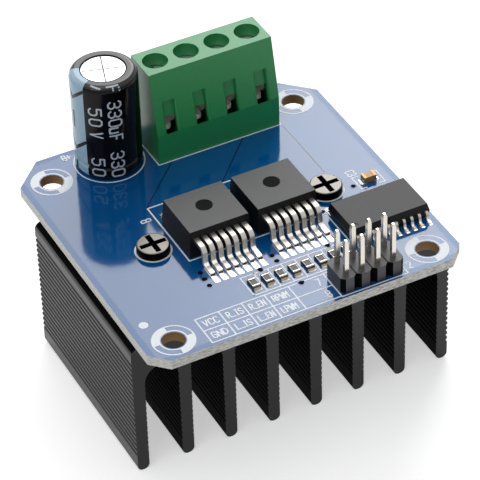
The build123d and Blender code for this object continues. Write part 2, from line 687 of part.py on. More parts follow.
def header_pin(x, y):
    """Square pin through the base and the board, pointed at both ends."""
    below = BOARD_THICKNESS + HEADER_PIN_BELOW
    length = below + HEADER_BASE_HEIGHT + HEADER_PIN_ABOVE - 2 * HEADER_PIN_TAPER
    square = Rectangle(HEADER_PIN_WIDTH, HEADER_PIN_WIDTH)
    pin = extrude(square, length)
    pin += extrude(square, -HEADER_PIN_TAPER, taper=HEADER_TAPER_ANGLE)
    pin += Pos(0, 0, length) * extrude(square, HEADER_PIN_TAPER, taper=HEADER_TAPER_ANGLE)
    return Pos(x, y, BOARD_TOP - below + HEADER_PIN_TAPER) * pin


def solder_joints(places, pin):
    """Cone of solder round each pin on the board's underside."""
    foot = SOLDER_SPREAD + HEADER_PIN_WIDTH / 2
    cone = Cone(
        SOLDER_SPREAD,
        foot,
        SOLDER_HEIGHT,
        align=(Align.CENTER, Align.CENTER, Align.MAX),
    )
    return Compound([Pos(x, y, BOARD_BOTTOM) * (cone - pin) for x, y in places])


def square_hole():
    """Room for a header pin in its solder."""
    return Box(HEADER_PIN_WIDTH, HEADER_PIN_WIDTH, 4 * SOLDER_HEIGHT)


def strip_hole():
    """Room for a terminal pin in its solder."""
    return Box(PIN_WIDTH, BAR_THICKNESS, 4 * SOLDER_HEIGHT)


def round_hole():
    """Room for a capacitor lead in its solder."""
    return Cylinder(CAP_LEAD_DIAMETER / 2, 4 * SOLDER_HEIGHT)


def pieces():
    """Every piece of the module by name."""
    yield "circuit_board", circuit_board()
    yield "heat_sink", heat_sink()
    yield "thermal_pad", thermal_pad()
    yield "heat_sink_screws", heat_sink_screws()
    yield "terminal_housing", terminal_housing()
    for i in range(POLE_COUNT):
        yield f"terminal_cage_{i + 1}", terminal_cage(i)
        yield f"terminal_screw_{i + 1}", terminal_screw(i)
        yield f"terminal_contact_{i + 1}", terminal_contact(i)
    yield "capacitor_can", capacitor_can()
    yield "capacitor_sleeve", capacitor_sleeve()
    yield "capacitor_seal", capacitor_seal()
    yield "capacitor_leads", capacitor_leads()
    for i, side in enumerate(("left", "right")):
        yield f"{side}_driver_body", driver_body(i)
        yield f"{side}_driver_tab", driver_tab_box(i)
        yield f"{side}_driver_leads", driver_leads(i)
    yield "logic_chip_body", logic_body()
    yield "logic_chip_leads", logic_leads()
    for i in range(RESISTOR_COUNT):
        place = resistor_place(i)
        yield f"resistor_body_{i + 1}", place * chip_body(CHIP_LENGTH, CHIP_WIDTH, RESISTOR_HEIGHT)
        yield f"resistor_caps_{i + 1}", place * chip_caps(CHIP_LENGTH, CHIP_WIDTH, RESISTOR_HEIGHT)
    place = Pos(CERAMIC_X, CERAMIC_Y, BOARD_TOP) * Rot(0, 0, 90)
    yield "ceramic_capacitor_body", place * chip_body(CHIP_LENGTH, CHIP_WIDTH, CERAMIC_HEIGHT)
    yield "ceramic_capacitor_caps", place * chip_caps(CHIP_LENGTH, CHIP_WIDTH, CERAMIC_HEIGHT)
    yield "header_base", header_base()
    for i, (x, y) in enumerate(header_places()):
        yield f"header_pin_{i + 1}", header_pin(x, y)
    yield "header_solder", solder_joints(header_places(), square_hole())
    yield "terminal_solder", solder_joints([(pole_x(i), bar_leg_y()) for i in range(POLE_COUNT)], strip_hole())
    yield "capacitor_solder", solder_joints(cap_lead_places(), round_hole())


os.makedirs("parts", exist_ok=True)
for name, shape in pieces():
    export_step(shape, f"parts/{name}.step")
    print(name, round(shape.volume, 3))
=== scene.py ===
# %% [markdown]
# # A motor driver board on its heat sink
# The CAD model holds every solid piece, from the board and its finned heat sink to the
# pins. This lesson gives each the finish of its real material, and adds what is too thin
# for a solid model: pads, solder, the white print and the print on the capacitor.

# %% Load the CAD model
import math
import bpy
import numpy as np
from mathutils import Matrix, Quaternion, Vector


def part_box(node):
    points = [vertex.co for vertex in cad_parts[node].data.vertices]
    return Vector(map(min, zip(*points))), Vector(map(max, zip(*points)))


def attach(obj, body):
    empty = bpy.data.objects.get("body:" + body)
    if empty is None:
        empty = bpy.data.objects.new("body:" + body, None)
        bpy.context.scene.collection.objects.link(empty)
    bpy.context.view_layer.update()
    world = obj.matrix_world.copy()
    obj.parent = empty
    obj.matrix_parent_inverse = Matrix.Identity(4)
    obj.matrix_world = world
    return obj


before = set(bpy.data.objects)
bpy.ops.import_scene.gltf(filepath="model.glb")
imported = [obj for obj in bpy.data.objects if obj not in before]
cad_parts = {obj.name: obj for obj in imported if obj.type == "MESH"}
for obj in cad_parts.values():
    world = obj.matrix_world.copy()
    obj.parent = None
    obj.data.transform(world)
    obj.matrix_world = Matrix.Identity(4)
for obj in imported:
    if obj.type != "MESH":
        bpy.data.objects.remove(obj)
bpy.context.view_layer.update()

collection = bpy.context.scene.collection

# %% [markdown]
# ## Places that the looks are built on
# Every added piece sits on a CAD piece, so its place is read from that piece's box and
# not typed again. Boxes come in metres, and this lesson works in millimetres.

# %% Measure the CAD pieces
MM = 0.001
MODULE = "module"


def corners(name):
    """Lowest and highest corner of a CAD node in millimetres, as two arrays."""
    low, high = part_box(name)
    return np.array(low) / MM, np.array(high) / MM


def middle(name):
    """Middle of a CAD node's box in millimetres."""
    low, high = corners(name)
    return (low + high) / 2


board_low, board_high = corners("circuit_board")
TOP = board_high[2]
UNDERSIDE = board_low[2]
can_low, can_high = corners("capacitor_sleeve")
can_x, can_y = middle("capacitor_sleeve")[:2]
can_radius = (can_high[0] - can_low[0]) / 2
print("board top at", round(TOP, 2), "mm, capacitor radius", round(can_radius, 2), "mm")

# %% [markdown]
# ## A surface from a grid of points
# A form is worked out as rings of points laid along a path. Each point is joined to its
# neighbour in the ring and in the next ring, and both ends are closed. One array holds
# many separate forms, such as all the pads of a chip.

# %% Helpers: skin a grid and stack outlines


def skin(name, grid, look, slot=None, closed=False, crease=35):
    """Mesh from grid[form, ring, point, xyz] in mm: neighbours in a ring and in the next
    ring make four-sided faces. Open runs get a flat cap at both ends, and a closed run
    joins its last ring to its first."""
    forms, loops, points, _ = grid.shape
    index = np.arange(forms * loops * points).reshape(forms, loops, points)
    here, there = (index, np.roll(index, -1, axis=1)) if closed else (index[:, :-1], index[:, 1:])
    around = [here, np.roll(here, -1, axis=2), np.roll(there, -1, axis=2), there]
    faces = np.stack(around, axis=-1).reshape(-1, 4).tolist()
    if not closed:
        faces += index[:, 0, ::-1].tolist() + index[:, -1].tolist()
    mesh = bpy.data.meshes.new(name)
    mesh.from_pydata((grid.reshape(-1, 3) * MM).tolist(), [], faces)
    mesh.shade_smooth()
    mesh.set_sharp_from_angle(angle=math.radians(crease))
    mesh.materials.append(look)
    made = bpy.data.objects.new(name, mesh)
    collection.objects.link(made)
    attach(made, MODULE)
    print(name, "forms:", forms, "faces:", len(mesh.polygons))
    return made


def stack(outlines, heights):
    """Grid of upright walls: one outline[form, point, xy] at each height, which is one number
    for all the forms or one for each."""
    rows = []
    for line, z in zip(outlines, heights):
        tall = np.broadcast_to(np.reshape(z, (-1, 1)), line.shape[:2])
        rows.append(np.dstack([line, tall]))
    return np.stack(rows, axis=1)


def together(*columns):
    """Rows of numbers from columns, where a single number serves every row."""
    whole = [np.atleast_1d(np.asarray(column, float)) for column in columns]
    return np.stack(np.broadcast_arrays(*whole), axis=-1)


# %% [markdown]
# ## Finishes from nodes
# Each finish is one Principled shader. A colour is written as the hex code that a
# screen shows, and one function turns it into the linear light that shaders add up.
# One more function adds any node with its settings and its links.

# %% Helpers: colour and nodes


def linear(code):
    """Linear colour of an sRGB hex code: the dark end is divided, the rest is a power."""
    channels = [int(code[i : i + 2], 16) / 255 for i in (0, 2, 4)]
    return [c / 12.92 if c <= 0.04045 else ((c + 0.055) / 1.055) ** 2.4 for c in channels] + [1.0]


def add(tree, kind, inputs=None, **settings):
    """Adds a node: settings go on the node, and an input takes a value or another node's output."""
    made = tree.nodes.new("ShaderNode" + kind)
    for key, value in settings.items():
        setattr(made, key, value)
    for key, value in (inputs or {}).items():
        if isinstance(value, bpy.types.NodeSocket):
            tree.links.new(value, made.inputs[key])
        else:
            made.inputs[key].default_value = value
    return made


def finish(name, colour, **sockets):
    """Starts a finish with one Principled shader, whose sockets are named with _ for each
    space, and returns it with its tree and shader."""
    made = bpy.data.materials.new(name)
    made.use_nodes = True
    tree = made.node_tree
    tree.nodes.clear()
    inputs = {key.replace("_", " "): value for key, value in sockets.items()}
    shader = add(tree, "BsdfPrincipled", {"Base Color": linear(colour), **inputs})
    add(tree, "OutputMaterial", {"Surface": shader.outputs["BSDF"]})
    print("finish:", name)
    return made, tree, shader


# %% [markdown]
# ## Patterns at their real size
# Real surfaces are never one flat tone. Noise gives spots of a stated width, such as
# the crystals of a plating or the filler in a plastic. It can shift the colour and raise
# the surface, and stretched along one axis it gives lines.

# %% Helpers: patterns, relief and tint


def grain(tree, size, stretch=(1, 1, 1), detail=3.0):
    """Noise whose spots are about this many mm across, each axis scaled by its stretch."""
    where = add(tree, "TexCoord").outputs["Object"]
    mapped = add(tree, "Mapping", {"Vector": where, "Scale": stretch}).outputs["Vector"]
    noise = {"Vector": mapped, "Scale": 1 / (size * MM), "Detail": detail}
    return add(tree, "TexNoise", noise).outputs["Fac"]


def relief(tree, shader, height, deep, strength=1.0):
    """Bumps the shader's surface by a height output, this many millimetres deep."""
    bump = add(tree, "Bump", {"Height": height, "Distance": deep * MM, "Strength": strength})
    tree.links.new(bump.outputs["Normal"], shader.inputs["Normal"])


def tint(tree, shader, factor, dark, light):
    """Mixes two hex colours by a factor output into the shader's base colour."""
    mix = add(tree, "Mix", {"Factor": factor, "A": linear(dark), "B": linear(light)}, data_type="RGBA")
    tree.links.new(mix.outputs["Result"], shader.inputs["Base Color"])
    return mix


def above(tree, level):
    """1 where the surface lies above this height in mm, and 0 below it."""
    spot = add(tree, "SeparateXYZ", {"Vector": add(tree, "TexCoord").outputs["Object"]})
    return add(tree, "Math", {0: spot.outputs["Z"], 1: level * MM}, operation="GREATER_THAN").outputs[0]


# %% [markdown]
# ## Giving a finish to CAD pieces
# A CAD piece keeps its mesh and only changes its material. Some pieces need two: a fin
# is silky outside and painted black in the gaps as painted shade, and a moulded chip has a
# grey top and sides darkened with painted shade. The second finish goes to faces picked by their centre or
# direction.

# %% Helpers: paint CAD nodes


def paint(made, *names):
    """Gives CAD nodes this finish in place of their own."""
    for name in names:
        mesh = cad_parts[name].data
        mesh.materials.clear()
        mesh.materials.append(made)


def numbered(start):
    """Names of the CAD nodes that begin with this word."""
    return [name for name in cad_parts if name.startswith(start)]


def second_finish(name, made, pick):
    """Adds a finish to a CAD node and gives it to the faces that pick(centres, normals) marks."""
    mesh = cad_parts[name].data
    mesh.materials.append(made)
    rows = []
    for field in ("center", "normal"):
        flat = np.empty(3 * len(mesh.polygons), dtype=np.float32)
        mesh.polygons.foreach_get(field, flat)
        rows.append(flat.reshape(-1, 3))
    chosen = pick(rows[0] / MM, rows[1])
    mesh.polygons.foreach_set("material_index", chosen.astype(np.int32))
    print(name, "faces with the second finish:", int(chosen.sum()))


# %% [markdown]
# ## The circuit board: solder mask over glass-fibre laminate
# The flat faces carry a thin coat of blue solder mask, a glossy epoxy ink, so they show
# a clear reflection over a deep blue, with painted shade dimming the reflection along the rim.
# The edges are where a mill cut through layers of woven glass and resin: pale grey,
# streaked along the board, and matt. The walls of the big holes are drilled resin,
# brown and dull. The normal tells the flat faces from the cut ones, and the distance
# from the middle tells edges from holes.

# %% Finish: circuit board
MASK = ("004F8B", "005798")
LAMINATE = ("ACABA6", "E8E8E3")
DRILLED = "8A6A3C"
EDGE_MARGIN = 0.35
RIM_WIDTH = 0.6
CUT_REACH = 1.8
SIDE_CALM_AND_PAINTED_LIGHT = 0.75


def board_finish():
    """Blue mask where the normal is upright, streaked laminate at the edge, brown in the holes."""
    made, tree, shader = finish("solder_mask_on_laminate", MASK[0], IOR=1.58, Specular_IOR_Level=0.55)
    where = add(tree, "TexCoord").outputs
    normal = add(tree, "SeparateXYZ", {"Vector": where["Normal"]}).outputs
    spot = add(tree, "SeparateXYZ", {"Vector": where["Object"]}).outputs
    upright, aside, across, along = [
        add(tree, "Math", {0: value}, operation="ABSOLUTE").outputs[0]
        for value in (normal["Z"], normal["X"], spot["X"], spot["Y"])
    ]
    flat = add(tree, "Math", {0: upright, 1: 0.5}, operation="GREATER_THAN").outputs[0]
    reach = (board_high[0] - EDGE_MARGIN) * MM
    far = add(tree, "Math", {0: across, 1: along}, operation="MAXIMUM").outputs[0]
    at_side = add(tree, "Math", {0: far, 1: reach}, operation="GREATER_THAN").outputs[0]
    diagonal = add(tree, "Math", {0: across, 1: along}, operation="ADD").outputs[0]
    at_cut = add(tree, "Math", {0: diagonal, 1: CUT_REACH * reach}, operation="GREATER_THAN").outputs[0]
    edge = add(tree, "Math", {0: at_side, 1: at_cut}, operation="MAXIMUM").outputs[0]
    # Glass yarns are some 0.4 mm wide; 0.7 mm is as fine as still shows here. The two sides
    # were cut along the yarns, so they look calmer than the front and the back; they are also drawn lighter,
    # a painted light.
    weave = grain(tree, 0.7, (1, 1, 5), 6.0)
    streak = add(tree, "MapRange", {"Value": weave, "From Min": 0.36, "From Max": 0.56}).outputs["Result"]
    # Painted light: the sides are pushed towards the light laminate colour.
    calm_and_painted_light = add(tree, "Math", {0: aside, 1: SIDE_CALM_AND_PAINTED_LIGHT}, operation="MULTIPLY").outputs[0]
    streak = add(tree, "Math", {0: streak, 1: calm_and_painted_light}, operation="MAXIMUM").outputs[0]
    dark, light = [linear(code) for code in LAMINATE]
    laminate = add(tree, "Mix", {"Factor": streak, "A": dark, "B": light}, data_type="RGBA").outputs["Result"]
    cut = add(tree, "Mix", {"Factor": edge, "A": linear(DRILLED), "B": laminate}, data_type="RGBA")
    dark, light = [linear(code) for code in MASK]
    mask = add(tree, "Mix", {"Factor": grain(tree, 9.0), "A": dark, "B": light}, data_type="RGBA")
    both = {"Factor": flat, "A": cut.outputs["Result"], "B": mask.outputs["Result"]}
    colour = add(tree, "Mix", both, data_type="RGBA")
    tree.links.new(colour.outputs["Result"], shader.inputs["Base Color"])
    gloss = add(tree, "MapRange", {"Value": flat, "To Min": 0.75, "To Max": 0.09}).outputs["Result"]
    tree.links.new(gloss, shader.inputs["Roughness"])
    # Painted shade: a greyer specular tint dims the reflection along the rim.
    rim = add(tree, "Math", {0: far, 1: reach - RIM_WIDTH * MM}, operation="GREATER_THAN").outputs[0]
    shine = add(tree, "Mix", {"Factor": rim, "A": linear("FFFFFF"), "B": linear("D8DEE4")}, data_type="RGBA")
    tree.links.new(shine.outputs["Result"], shader.inputs["Specular Tint"])
    relief(tree, shader, grain(tree, 1.6), 0.012, 0.35)
    return made


solder_mask = board_finish()
paint(solder_mask, "circuit_board")

# %% [markdown]
# ## The heat sink: black anodised aluminium
# The bar was extruded, sawn to length and dyed black in an oxide bath. The oxide is
# hard and clear, with a higher index than plastic, so it keeps a silky sheen. Drawing
# the bar through its die leaves faint scratches along it, and the sawn ends are even.
# Between the fins hardly any light comes back, and the top faces look up at the underside of the board, so
# those faces get painted shade, a blacker copy of the oxide.

# %% Finishes: heat sink
sink_high = corners("heat_sink")[1]
OUTER_SKIN = 1.2
SAWN = 0.9
UPWARD = 0.5


def oxide(name, dark, light=None, **sockets):
    """Near-black oxide with fine die lines along the extrusion, which are raised, and also
    lighter where a second colour is given."""
    made, tree, shader = finish(name, dark, **sockets)
    lines = grain(tree, 0.35, stretch=(1, 0.02, 1), detail=4.0)
    if light:
        tint(tree, shader, lines, dark, light)
    relief(tree, shader, lines, 0.03, 0.5)
    return made


def in_shade(centres, normals):
    """Faces between the fins, which are neither sawn ends nor outer skin, and the top faces,
    which look up at the board: these get painted shade."""
    between = (np.abs(normals[:, 1]) < SAWN) & (np.abs(centres[:, 0]) < sink_high[0] - OUTER_SKIN)
    return between | ((normals[:, 2] > UPWARD) & (centres[:, 2] > sink_high[2] - OUTER_SKIN))


# Silky black: a lamp draws a soft grey streak on it.
silky = {"Roughness": 0.34, "IOR": 1.7, "Specular_IOR_Level": 0.2}
anodised = oxide("anodised_aluminium_extruded", "0B0A0D", "1A191E", **silky)
# Painted shade: one deep black tone, with hardly any streak.
oxide_painted_shade = oxide("anodised_aluminium_painted_shade", "040405", Roughness=0.6, Specular_IOR_Level=0.02)
paint(anodised, "heat_sink")
second_finish("heat_sink", oxide_painted_shade, in_shade)

# %% [markdown]
# ## Plated steel and drawn aluminium
# The two screws that clamp the board are steel plated with black nickel. Their flat
# tops mirror the lamp; the sides and the cross are painted black, a painted shade. The terminal screws
# and cages are plated with zinc, and the cages were tumbled in bulk, so they are the
# dullest. A plating has fine crystals, drawn as a faint relief. The capacitor's can is
# drawn aluminium with a cross scored into its top, where it bursts safely; the grey in the scores is painted
# shade.

# %% Finishes: plated steel and drawn aluminium


def metal_finish(name, colour, rough, spots, deep):
    """Plain metal whose surface rolls a little, as a plated or molten one does."""
    made, tree, shader = finish(name, colour, Metallic=1.0, Roughness=rough)
    relief(tree, shader, grain(tree, spots), deep, 0.5)
    return made


def metal_with_painted_shade_below(name, bright, dull, level, rough):
    """Metal that is bright above a height in mm, with painted shade below it: darker and rougher."""
    made, tree, shader = finish(name, bright, Metallic=1.0, Roughness=rough)
    high = above(tree, level)
    tint(tree, shader, high, dull, bright)
    spread = add(tree, "MapRange", {"Value": high, "To Min": 0.6, "To Max": rough}).outputs["Result"]
    tree.links.new(spread, shader.inputs["Roughness"])
    relief(tree, shader, grain(tree, 0.3), 0.008, 0.5)
    return made


SCREW_TOP_SKIN = 0.07
SCORE_DEPTH = 0.03
can_top = corners("capacitor_can")[1][2]
screw_low, screw_high = corners("heat_sink_screws")
screw_face = screw_high[2] - SCREW_TOP_SKIN
# A pale warm mirror on top; the black below it, on the sides and the cross, is painted shade.
black_nickel_and_painted_shade = metal_with_painted_shade_below("black_nickel_plated_steel_painted_shade", "67645F", "050506", screw_face, 0.3)
# Cool light grey with soft highlights.
zinc = metal_finish("zinc_plated_steel", "EEF1F4", 0.38, 0.3, 0.01)
# Warm grey without a highlight.
tumbled_zinc = metal_finish("zinc_plated_steel_tumbled", "F4F0EA", 0.8, 0.3, 0.01)
# Pale with a soft gloss; the grey in the scores is painted shade.
scored = metal_with_painted_shade_below("drawn_aluminium_scored", "DCDCDC", "777777", can_top - SCORE_DEPTH, 0.3)
paint(black_nickel_and_painted_shade, "heat_sink_screws")
paint(zinc, *numbered("terminal_screw"))
paint(tumbled_zinc, *numbered("terminal_cage"))
paint(scored, "capacitor_can")

# %% [markdown]
# ## Tin and solder
# Leads and pins wear a thin coat of tin, which is bright but never quite even. A lead is
# dull where it was bent, bright where solder wetted its foot, and its sheared end shows
# bare copper, darkened further with painted shade. Solder froze from a melt, so it rolls in broad soft waves.

# %% Finishes: tin and solder
WETTED = 0.8
LEAD_THICK = 0.26
FRONTWARD = -0.95


def lead_finish():
    """Tin that is dull above, bright at the foot, and dark on the sheared ends of the feet,
    which are low and look to the front: bare copper with painted shade."""
    made, tree, shader = finish("tin_plated_lead", "B5B1AA", Metallic=1.0, Roughness=0.38)
    normal = add(tree, "SeparateXYZ", {"Vector": add(tree, "TexCoord").outputs["Normal"]}).outputs
    # The sheared ends are bare copper, darkened further with painted shade.
    front = add(tree, "Math", {0: normal["Y"], 1: FRONTWARD}, operation="LESS_THAN").outputs[0]
    low = add(tree, "Math", {0: 1.0, 1: above(tree, TOP + LEAD_THICK)}, operation="SUBTRACT").outputs[0]
    sheared_copper_and_shade = add(tree, "Math", {0: front, 1: low}, operation="MULTIPLY").outputs[0]
    bright, dull = linear("F2EFEA"), linear("B5B1AA")
    wetted = add(tree, "Mix", {"Factor": above(tree, TOP + WETTED), "A": bright, "B": dull}, data_type="RGBA")
    mix = tint(tree, shader, sheared_copper_and_shade, "B5B1AA", "33281F")
    tree.links.new(wetted.outputs["Result"], mix.inputs["A"])
    relief(tree, shader, grain(tree, 0.35), 0.012, 0.5)
    return made


lead_tin = lead_finish()
# Bright and slightly warm, with crisp highlights.
tin = metal_finish("tin_plated_brass", "D6D1C8", 0.2, 0.35, 0.012)
# Pale, with rounded highlights.
solder = metal_finish("solder_frozen", "E2E0DC", 0.2, 0.5, 0.02)
# The same melt, frozen rough and greyer.
dull_solder = metal_finish("solder_frozen_dull", "918A82", 0.42, 0.4, 0.03)
# Tin fired on the ends of the chip parts: dark grey, and tan over the pale ceramic.
chip_end = metal_finish("tin_dull_on_chip_end", "5B534B", 0.4, 0.25, 0.015)
cap_metal = metal_finish("tin_over_tan_ceramic", "A98A5C", 0.5, 0.25, 0.015)
drivers = ("left_driver", "right_driver")
paint(lead_tin, *[name + part for name in drivers for part in ("_leads", "_tab")], "logic_chip_leads")
paint(tin, *numbered("header_pin"), *numbered("terminal_contact"), "capacitor_leads")
paint(solder, "header_solder", "terminal_solder", "capacitor_solder")
paint(chip_end, *numbered("resistor_caps"))
paint(cap_metal, "ceramic_capacitor_caps")

# %% [markdown]
# ## Plastics, rubber and ceramics
# The terminal housing is green nylon, moulded with a satin skin. The seal of the
# capacitor is plain rubber, and the pad under the board is grey silicone. The resistors
# have a dark glaze over white alumina, and the small capacitor is a tan fired ceramic.
# Two close colours in a fine grain keep each of them from looking like flat paint.

# %% Finishes: plastics, rubber and ceramics


def plain_finish(name, dark, light, rough, ior, spots, deep, shine=0.5):
    """Two close colours in a fine grain, with a relief of the same grain."""
    made, tree, shader = finish(name, dark, Roughness=rough, IOR=ior, Specular_IOR_Level=shine)
    fine = grain(tree, spots)
    tint(tree, shader, fine, dark, light)
    relief(tree, shader, fine, deep, 0.6)
    return made


# A strong green with a satin sheen.
nylon = plain_finish("nylon_moulded", "1B8A48", "229352", 0.34, 1.53, 0.6, 0.01)
# Matt black, with hardly any highlight.
rubber = plain_finish("rubber_moulded", "161616", "1E1E1E", 0.7, 1.52, 0.3, 0.02)
# Soft grey, slightly waxy.
silicone = plain_finish("silicone_sheet", "9AA0A6", "A9AFB5", 0.6, 1.41, 0.5, 0.02)
# Brown-black glass with a soft window of light.
glaze = plain_finish("glass_glaze_fired", "2A2725", "3A3633", 0.25, 1.5, 0.2, 0.01, 0.3)
# Chalky white.
alumina = plain_finish("alumina_fired", "D9D6CE", "E6E3DC", 0.4, 1.6, 0.2, 0.01)
# Warm tan, like unglazed stoneware.
tan_ceramic = plain_finish("ceramic_fired", "A8742F", "BC883F", 0.4, 1.6, 0.4, 0.01)
paint(nylon, "terminal_housing")
paint(rubber, "capacitor_seal")
paint(silicone, "thermal_pad")
paint(glaze, *numbered("resistor_body"))
paint(tan_ceramic, "ceramic_capacitor_body")

# %% [markdown]
# ## Chips: epoxy filled with silica
# A chip is pressed from black epoxy with fine silica in it. The top was blasted, so it
# scatters the lamp and looks grey. The drafted sides slid out of the mould and look away
# from the lamp; their near-black is painted shade, a darker copy of the same epoxy. The
# silica is finer than a picture shows, so it is drawn at 0.16 mm.

# %% Finishes: chips


def on_sides(centres, normals):
    """Faces that don't look up, which are the drafted sides of a chip."""
    return normals[:, 2] < UPWARD


# Grey in the light, with a sandy grain; the logic chip's top is a little duller.
epoxy = plain_finish("epoxy_moulding_compound", "101012", "1E1E20", 0.5, 1.55, 0.16, 0.05)
dull_epoxy = plain_finish("epoxy_moulding_compound_dull", "101012", "1E1E20", 0.5, 1.55, 0.16, 0.05, 0.36)
# Painted shade for the sides: the same epoxy, darker and with less sheen.
epoxy_painted_shade = plain_finish("epoxy_moulding_compound_painted_shade", "070709", "0E0E10", 0.5, 1.55, 0.16, 0.03, 0.2)
paint(epoxy, *[name + "_body" for name in drivers])
paint(dull_epoxy, "logic_chip_body")
for name in (*drivers, "logic_chip"):
    second_finish(name + "_body", epoxy_painted_shade, on_sides)

# %% [markdown]
# ## The pin header: moulded polyester
# The header is cut from a long strip with a notch between each two columns of pins. Its
# flats are satin and catch the light, and the shadow in the notches is painted black.

# %% Finishes: header
SQUARE = 0.95


def square_on(centres, normals):
    """Faces that look straight along an axis: the flats of the header, and not its notches."""
    return np.abs(normals).max(axis=1) > SQUARE


# Black in the notches, a painted shade, and dark grey with a soft sheen on the flats.
notch_painted_shade = plain_finish("polyester_moulded_notch", "060607", "0A0A0B", 0.6, 1.55, 0.4, 0.01, 0.02)
flats = plain_finish("polyester_moulded", "27272A", "343438", 0.5, 1.55, 0.3, 0.03, 0.55)
paint(notch_painted_shade, "header_base")
second_finish("header_base", flats, square_on)

# %% [markdown]
# ## The capacitor's sleeve: shrunk vinyl film
# The sleeve is a glossy black film with one pale stripe, which marks the negative lead.
# Over the top edge the film is stretched tight and shines more.

# %% Finishes: capacitor sleeve
STRIPE_MIDDLE = math.radians(-91.0)
STRIPE_HALF = math.radians(29.0)
SHOULDER = 1.02
TOP_RING = 0.4


def sleeve_finish(name, shine):
    """Glossy black film with a pale stripe where the angle round the can's axis lies within
    half the stripe's width of its middle."""
    made, tree, shader = finish(name, "050507", Roughness=0.14, IOR=1.53, Specular_IOR_Level=shine)
    spot = add(tree, "SeparateXYZ", {"Vector": add(tree, "TexCoord").outputs["Object"]}).outputs
    right = add(tree, "Math", {0: spot["X"], 1: can_x * MM}, operation="SUBTRACT").outputs[0]
    front = add(tree, "Math", {0: can_y * MM, 1: spot["Y"]}, operation="SUBTRACT").outputs[0]
    turn = add(tree, "Math", {0: right, 1: front}, operation="ARCTAN2").outputs[0]
    off = add(tree, "Math", {0: turn, 1: STRIPE_MIDDLE}, operation="SUBTRACT").outputs[0]
    off = add(tree, "Math", {0: off}, operation="ABSOLUTE").outputs[0]
    striped = add(tree, "Math", {0: off, 1: STRIPE_HALF}, operation="LESS_THAN").outputs[0]
    tint(tree, shader, striped, "050507", "A5C3D6")
    relief(tree, shader, grain(tree, 1.6), 0.02, 0.6)
    return made


def on_top_ring(centres, normals):
    """Faces of the sleeve that lie over the top edge of the can."""
    return centres[:, 2] > can_high[2] - TOP_RING * SHOULDER


paint(sleeve_finish("vinyl_film_shrunk", 0.14), "capacitor_sleeve")
second_finish("capacitor_sleeve", sleeve_finish("vinyl_film_stretched_tight", 0.42), on_top_ring)

# %% [markdown]
# ## Pads of bare copper with solder on them
# Where a part is soldered, the mask leaves a window and the copper below is coated with
# solder. A pad is a thin plate with rounded corners whose top is a little smaller than
# its foot, as molten solder pulls in at the rim.

# %% Helpers: pads
PAD_HEIGHT = 0.05
PAD_CORNER = 0.12


def rounded(x, y, wide, deep, radius=PAD_CORNER, steps=4):
    """Rounded rectangles: a quarter circle about each of four corner centres, turning left."""
    quarter = np.linspace(0, math.pi / 2, steps)
    angle = np.concatenate([quarter + turn * math.pi / 2 for turn in range(4)])
    side_x = np.repeat([1, -1, -1, 1], steps) * (wide / 2 - radius)
    side_y = np.repeat([1, 1, -1, -1], steps) * (deep / 2 - radius)
    around = np.stack([side_x + radius * np.cos(angle), side_y + radius * np.sin(angle)], axis=-1)
    return together(x, y)[:, None] + around


def pads(name, x, y, wide, deep, look=solder):
    """Plates of two rings at the foot and rim and a smaller ring on top."""
    foot = rounded(x, y, wide, deep)
    rim = rounded(x, y, wide - PAD_CORNER, deep - PAD_CORNER, PAD_CORNER / 2)
    grid = stack([foot, foot, rim], [TOP, TOP + 0.6 * PAD_HEIGHT, TOP + PAD_HEIGHT])
    return skin(name, grid, look, "solder")


def lead_row(name, count, width):
    """Middle x of each lead in a row, from the row's box, the number of leads and their width."""
    low, high = corners(name)
    return np.linspace(low[0] + width / 2, high[0] - width / 2, count)


# %% [markdown]
# A driver chip has one row of seven leads and a wide tab that carries its heat into the
# board. The logic chip has two rows of ten. Each resistor has a pad in front and behind.

# %% Solder pads
DRIVER_LEADS, DRIVER_LEAD_WIDTH, DRIVER_SHIFT = 7, 0.75, 0.15
LOGIC_LEADS, LOGIC_LEAD_WIDTH, LOGIC_SHIFT = 10, 0.42, 0.65
TAB_SHIFT = 2.0
RESISTOR_SHIFT = np.array([-1.08, 1.08])
CERAMIC_SHIFT = np.array([-1.0, 1.0])
driver_x = [lead_row(name + "_leads", DRIVER_LEADS, DRIVER_LEAD_WIDTH) for name in drivers]
driver_toe = corners("left_driver_leads")[0][1]
pads("driver_pads", np.concatenate(driver_x), driver_toe + DRIVER_SHIFT, wide=0.88, deep=3.9)
tab_x = [middle(name + "_tab")[0] for name in drivers]
tab_back = corners("left_driver_tab")[1][1]
pads("driver_tab_pads", tab_x, tab_back - TAB_SHIFT, wide=8.9, deep=5.6)
logic_low, logic_high = corners("logic_chip_leads")
logic_x = np.tile(lead_row("logic_chip_leads", LOGIC_LEADS, LOGIC_LEAD_WIDTH), 2)
logic_y = np.repeat([logic_low[1] + LOGIC_SHIFT, logic_high[1] - LOGIC_SHIFT], LOGIC_LEADS)
pads("logic_pads", logic_x, logic_y, wide=0.62, deep=1.9)
resistor_x = np.array([middle(name)[0] for name in sorted(numbered("resistor_body"))])
both_ends_x = np.tile(resistor_x, 2)
both_ends_y = np.repeat(middle("resistor_body_1")[1] + RESISTOR_SHIFT, len(resistor_x))
pads("resistor_pads", both_ends_x, both_ends_y, wide=1.24, deep=1.1, look=dull_solder)
ceramic_x, ceramic_y = middle("ceramic_capacitor_body")[:2]
pads("ceramic_pads", ceramic_x + CERAMIC_SHIFT, ceramic_y, wide=0.9, deep=1.3)

# %% [markdown]
# ## Solder fillets
# Molten solder climbs the end of a chip part and freezes as a hollow curve. The curve
# here is a quarter ellipse seen from outside: high against the metal end cap, flat at
# the pad's rim.

# %% Solder fillets


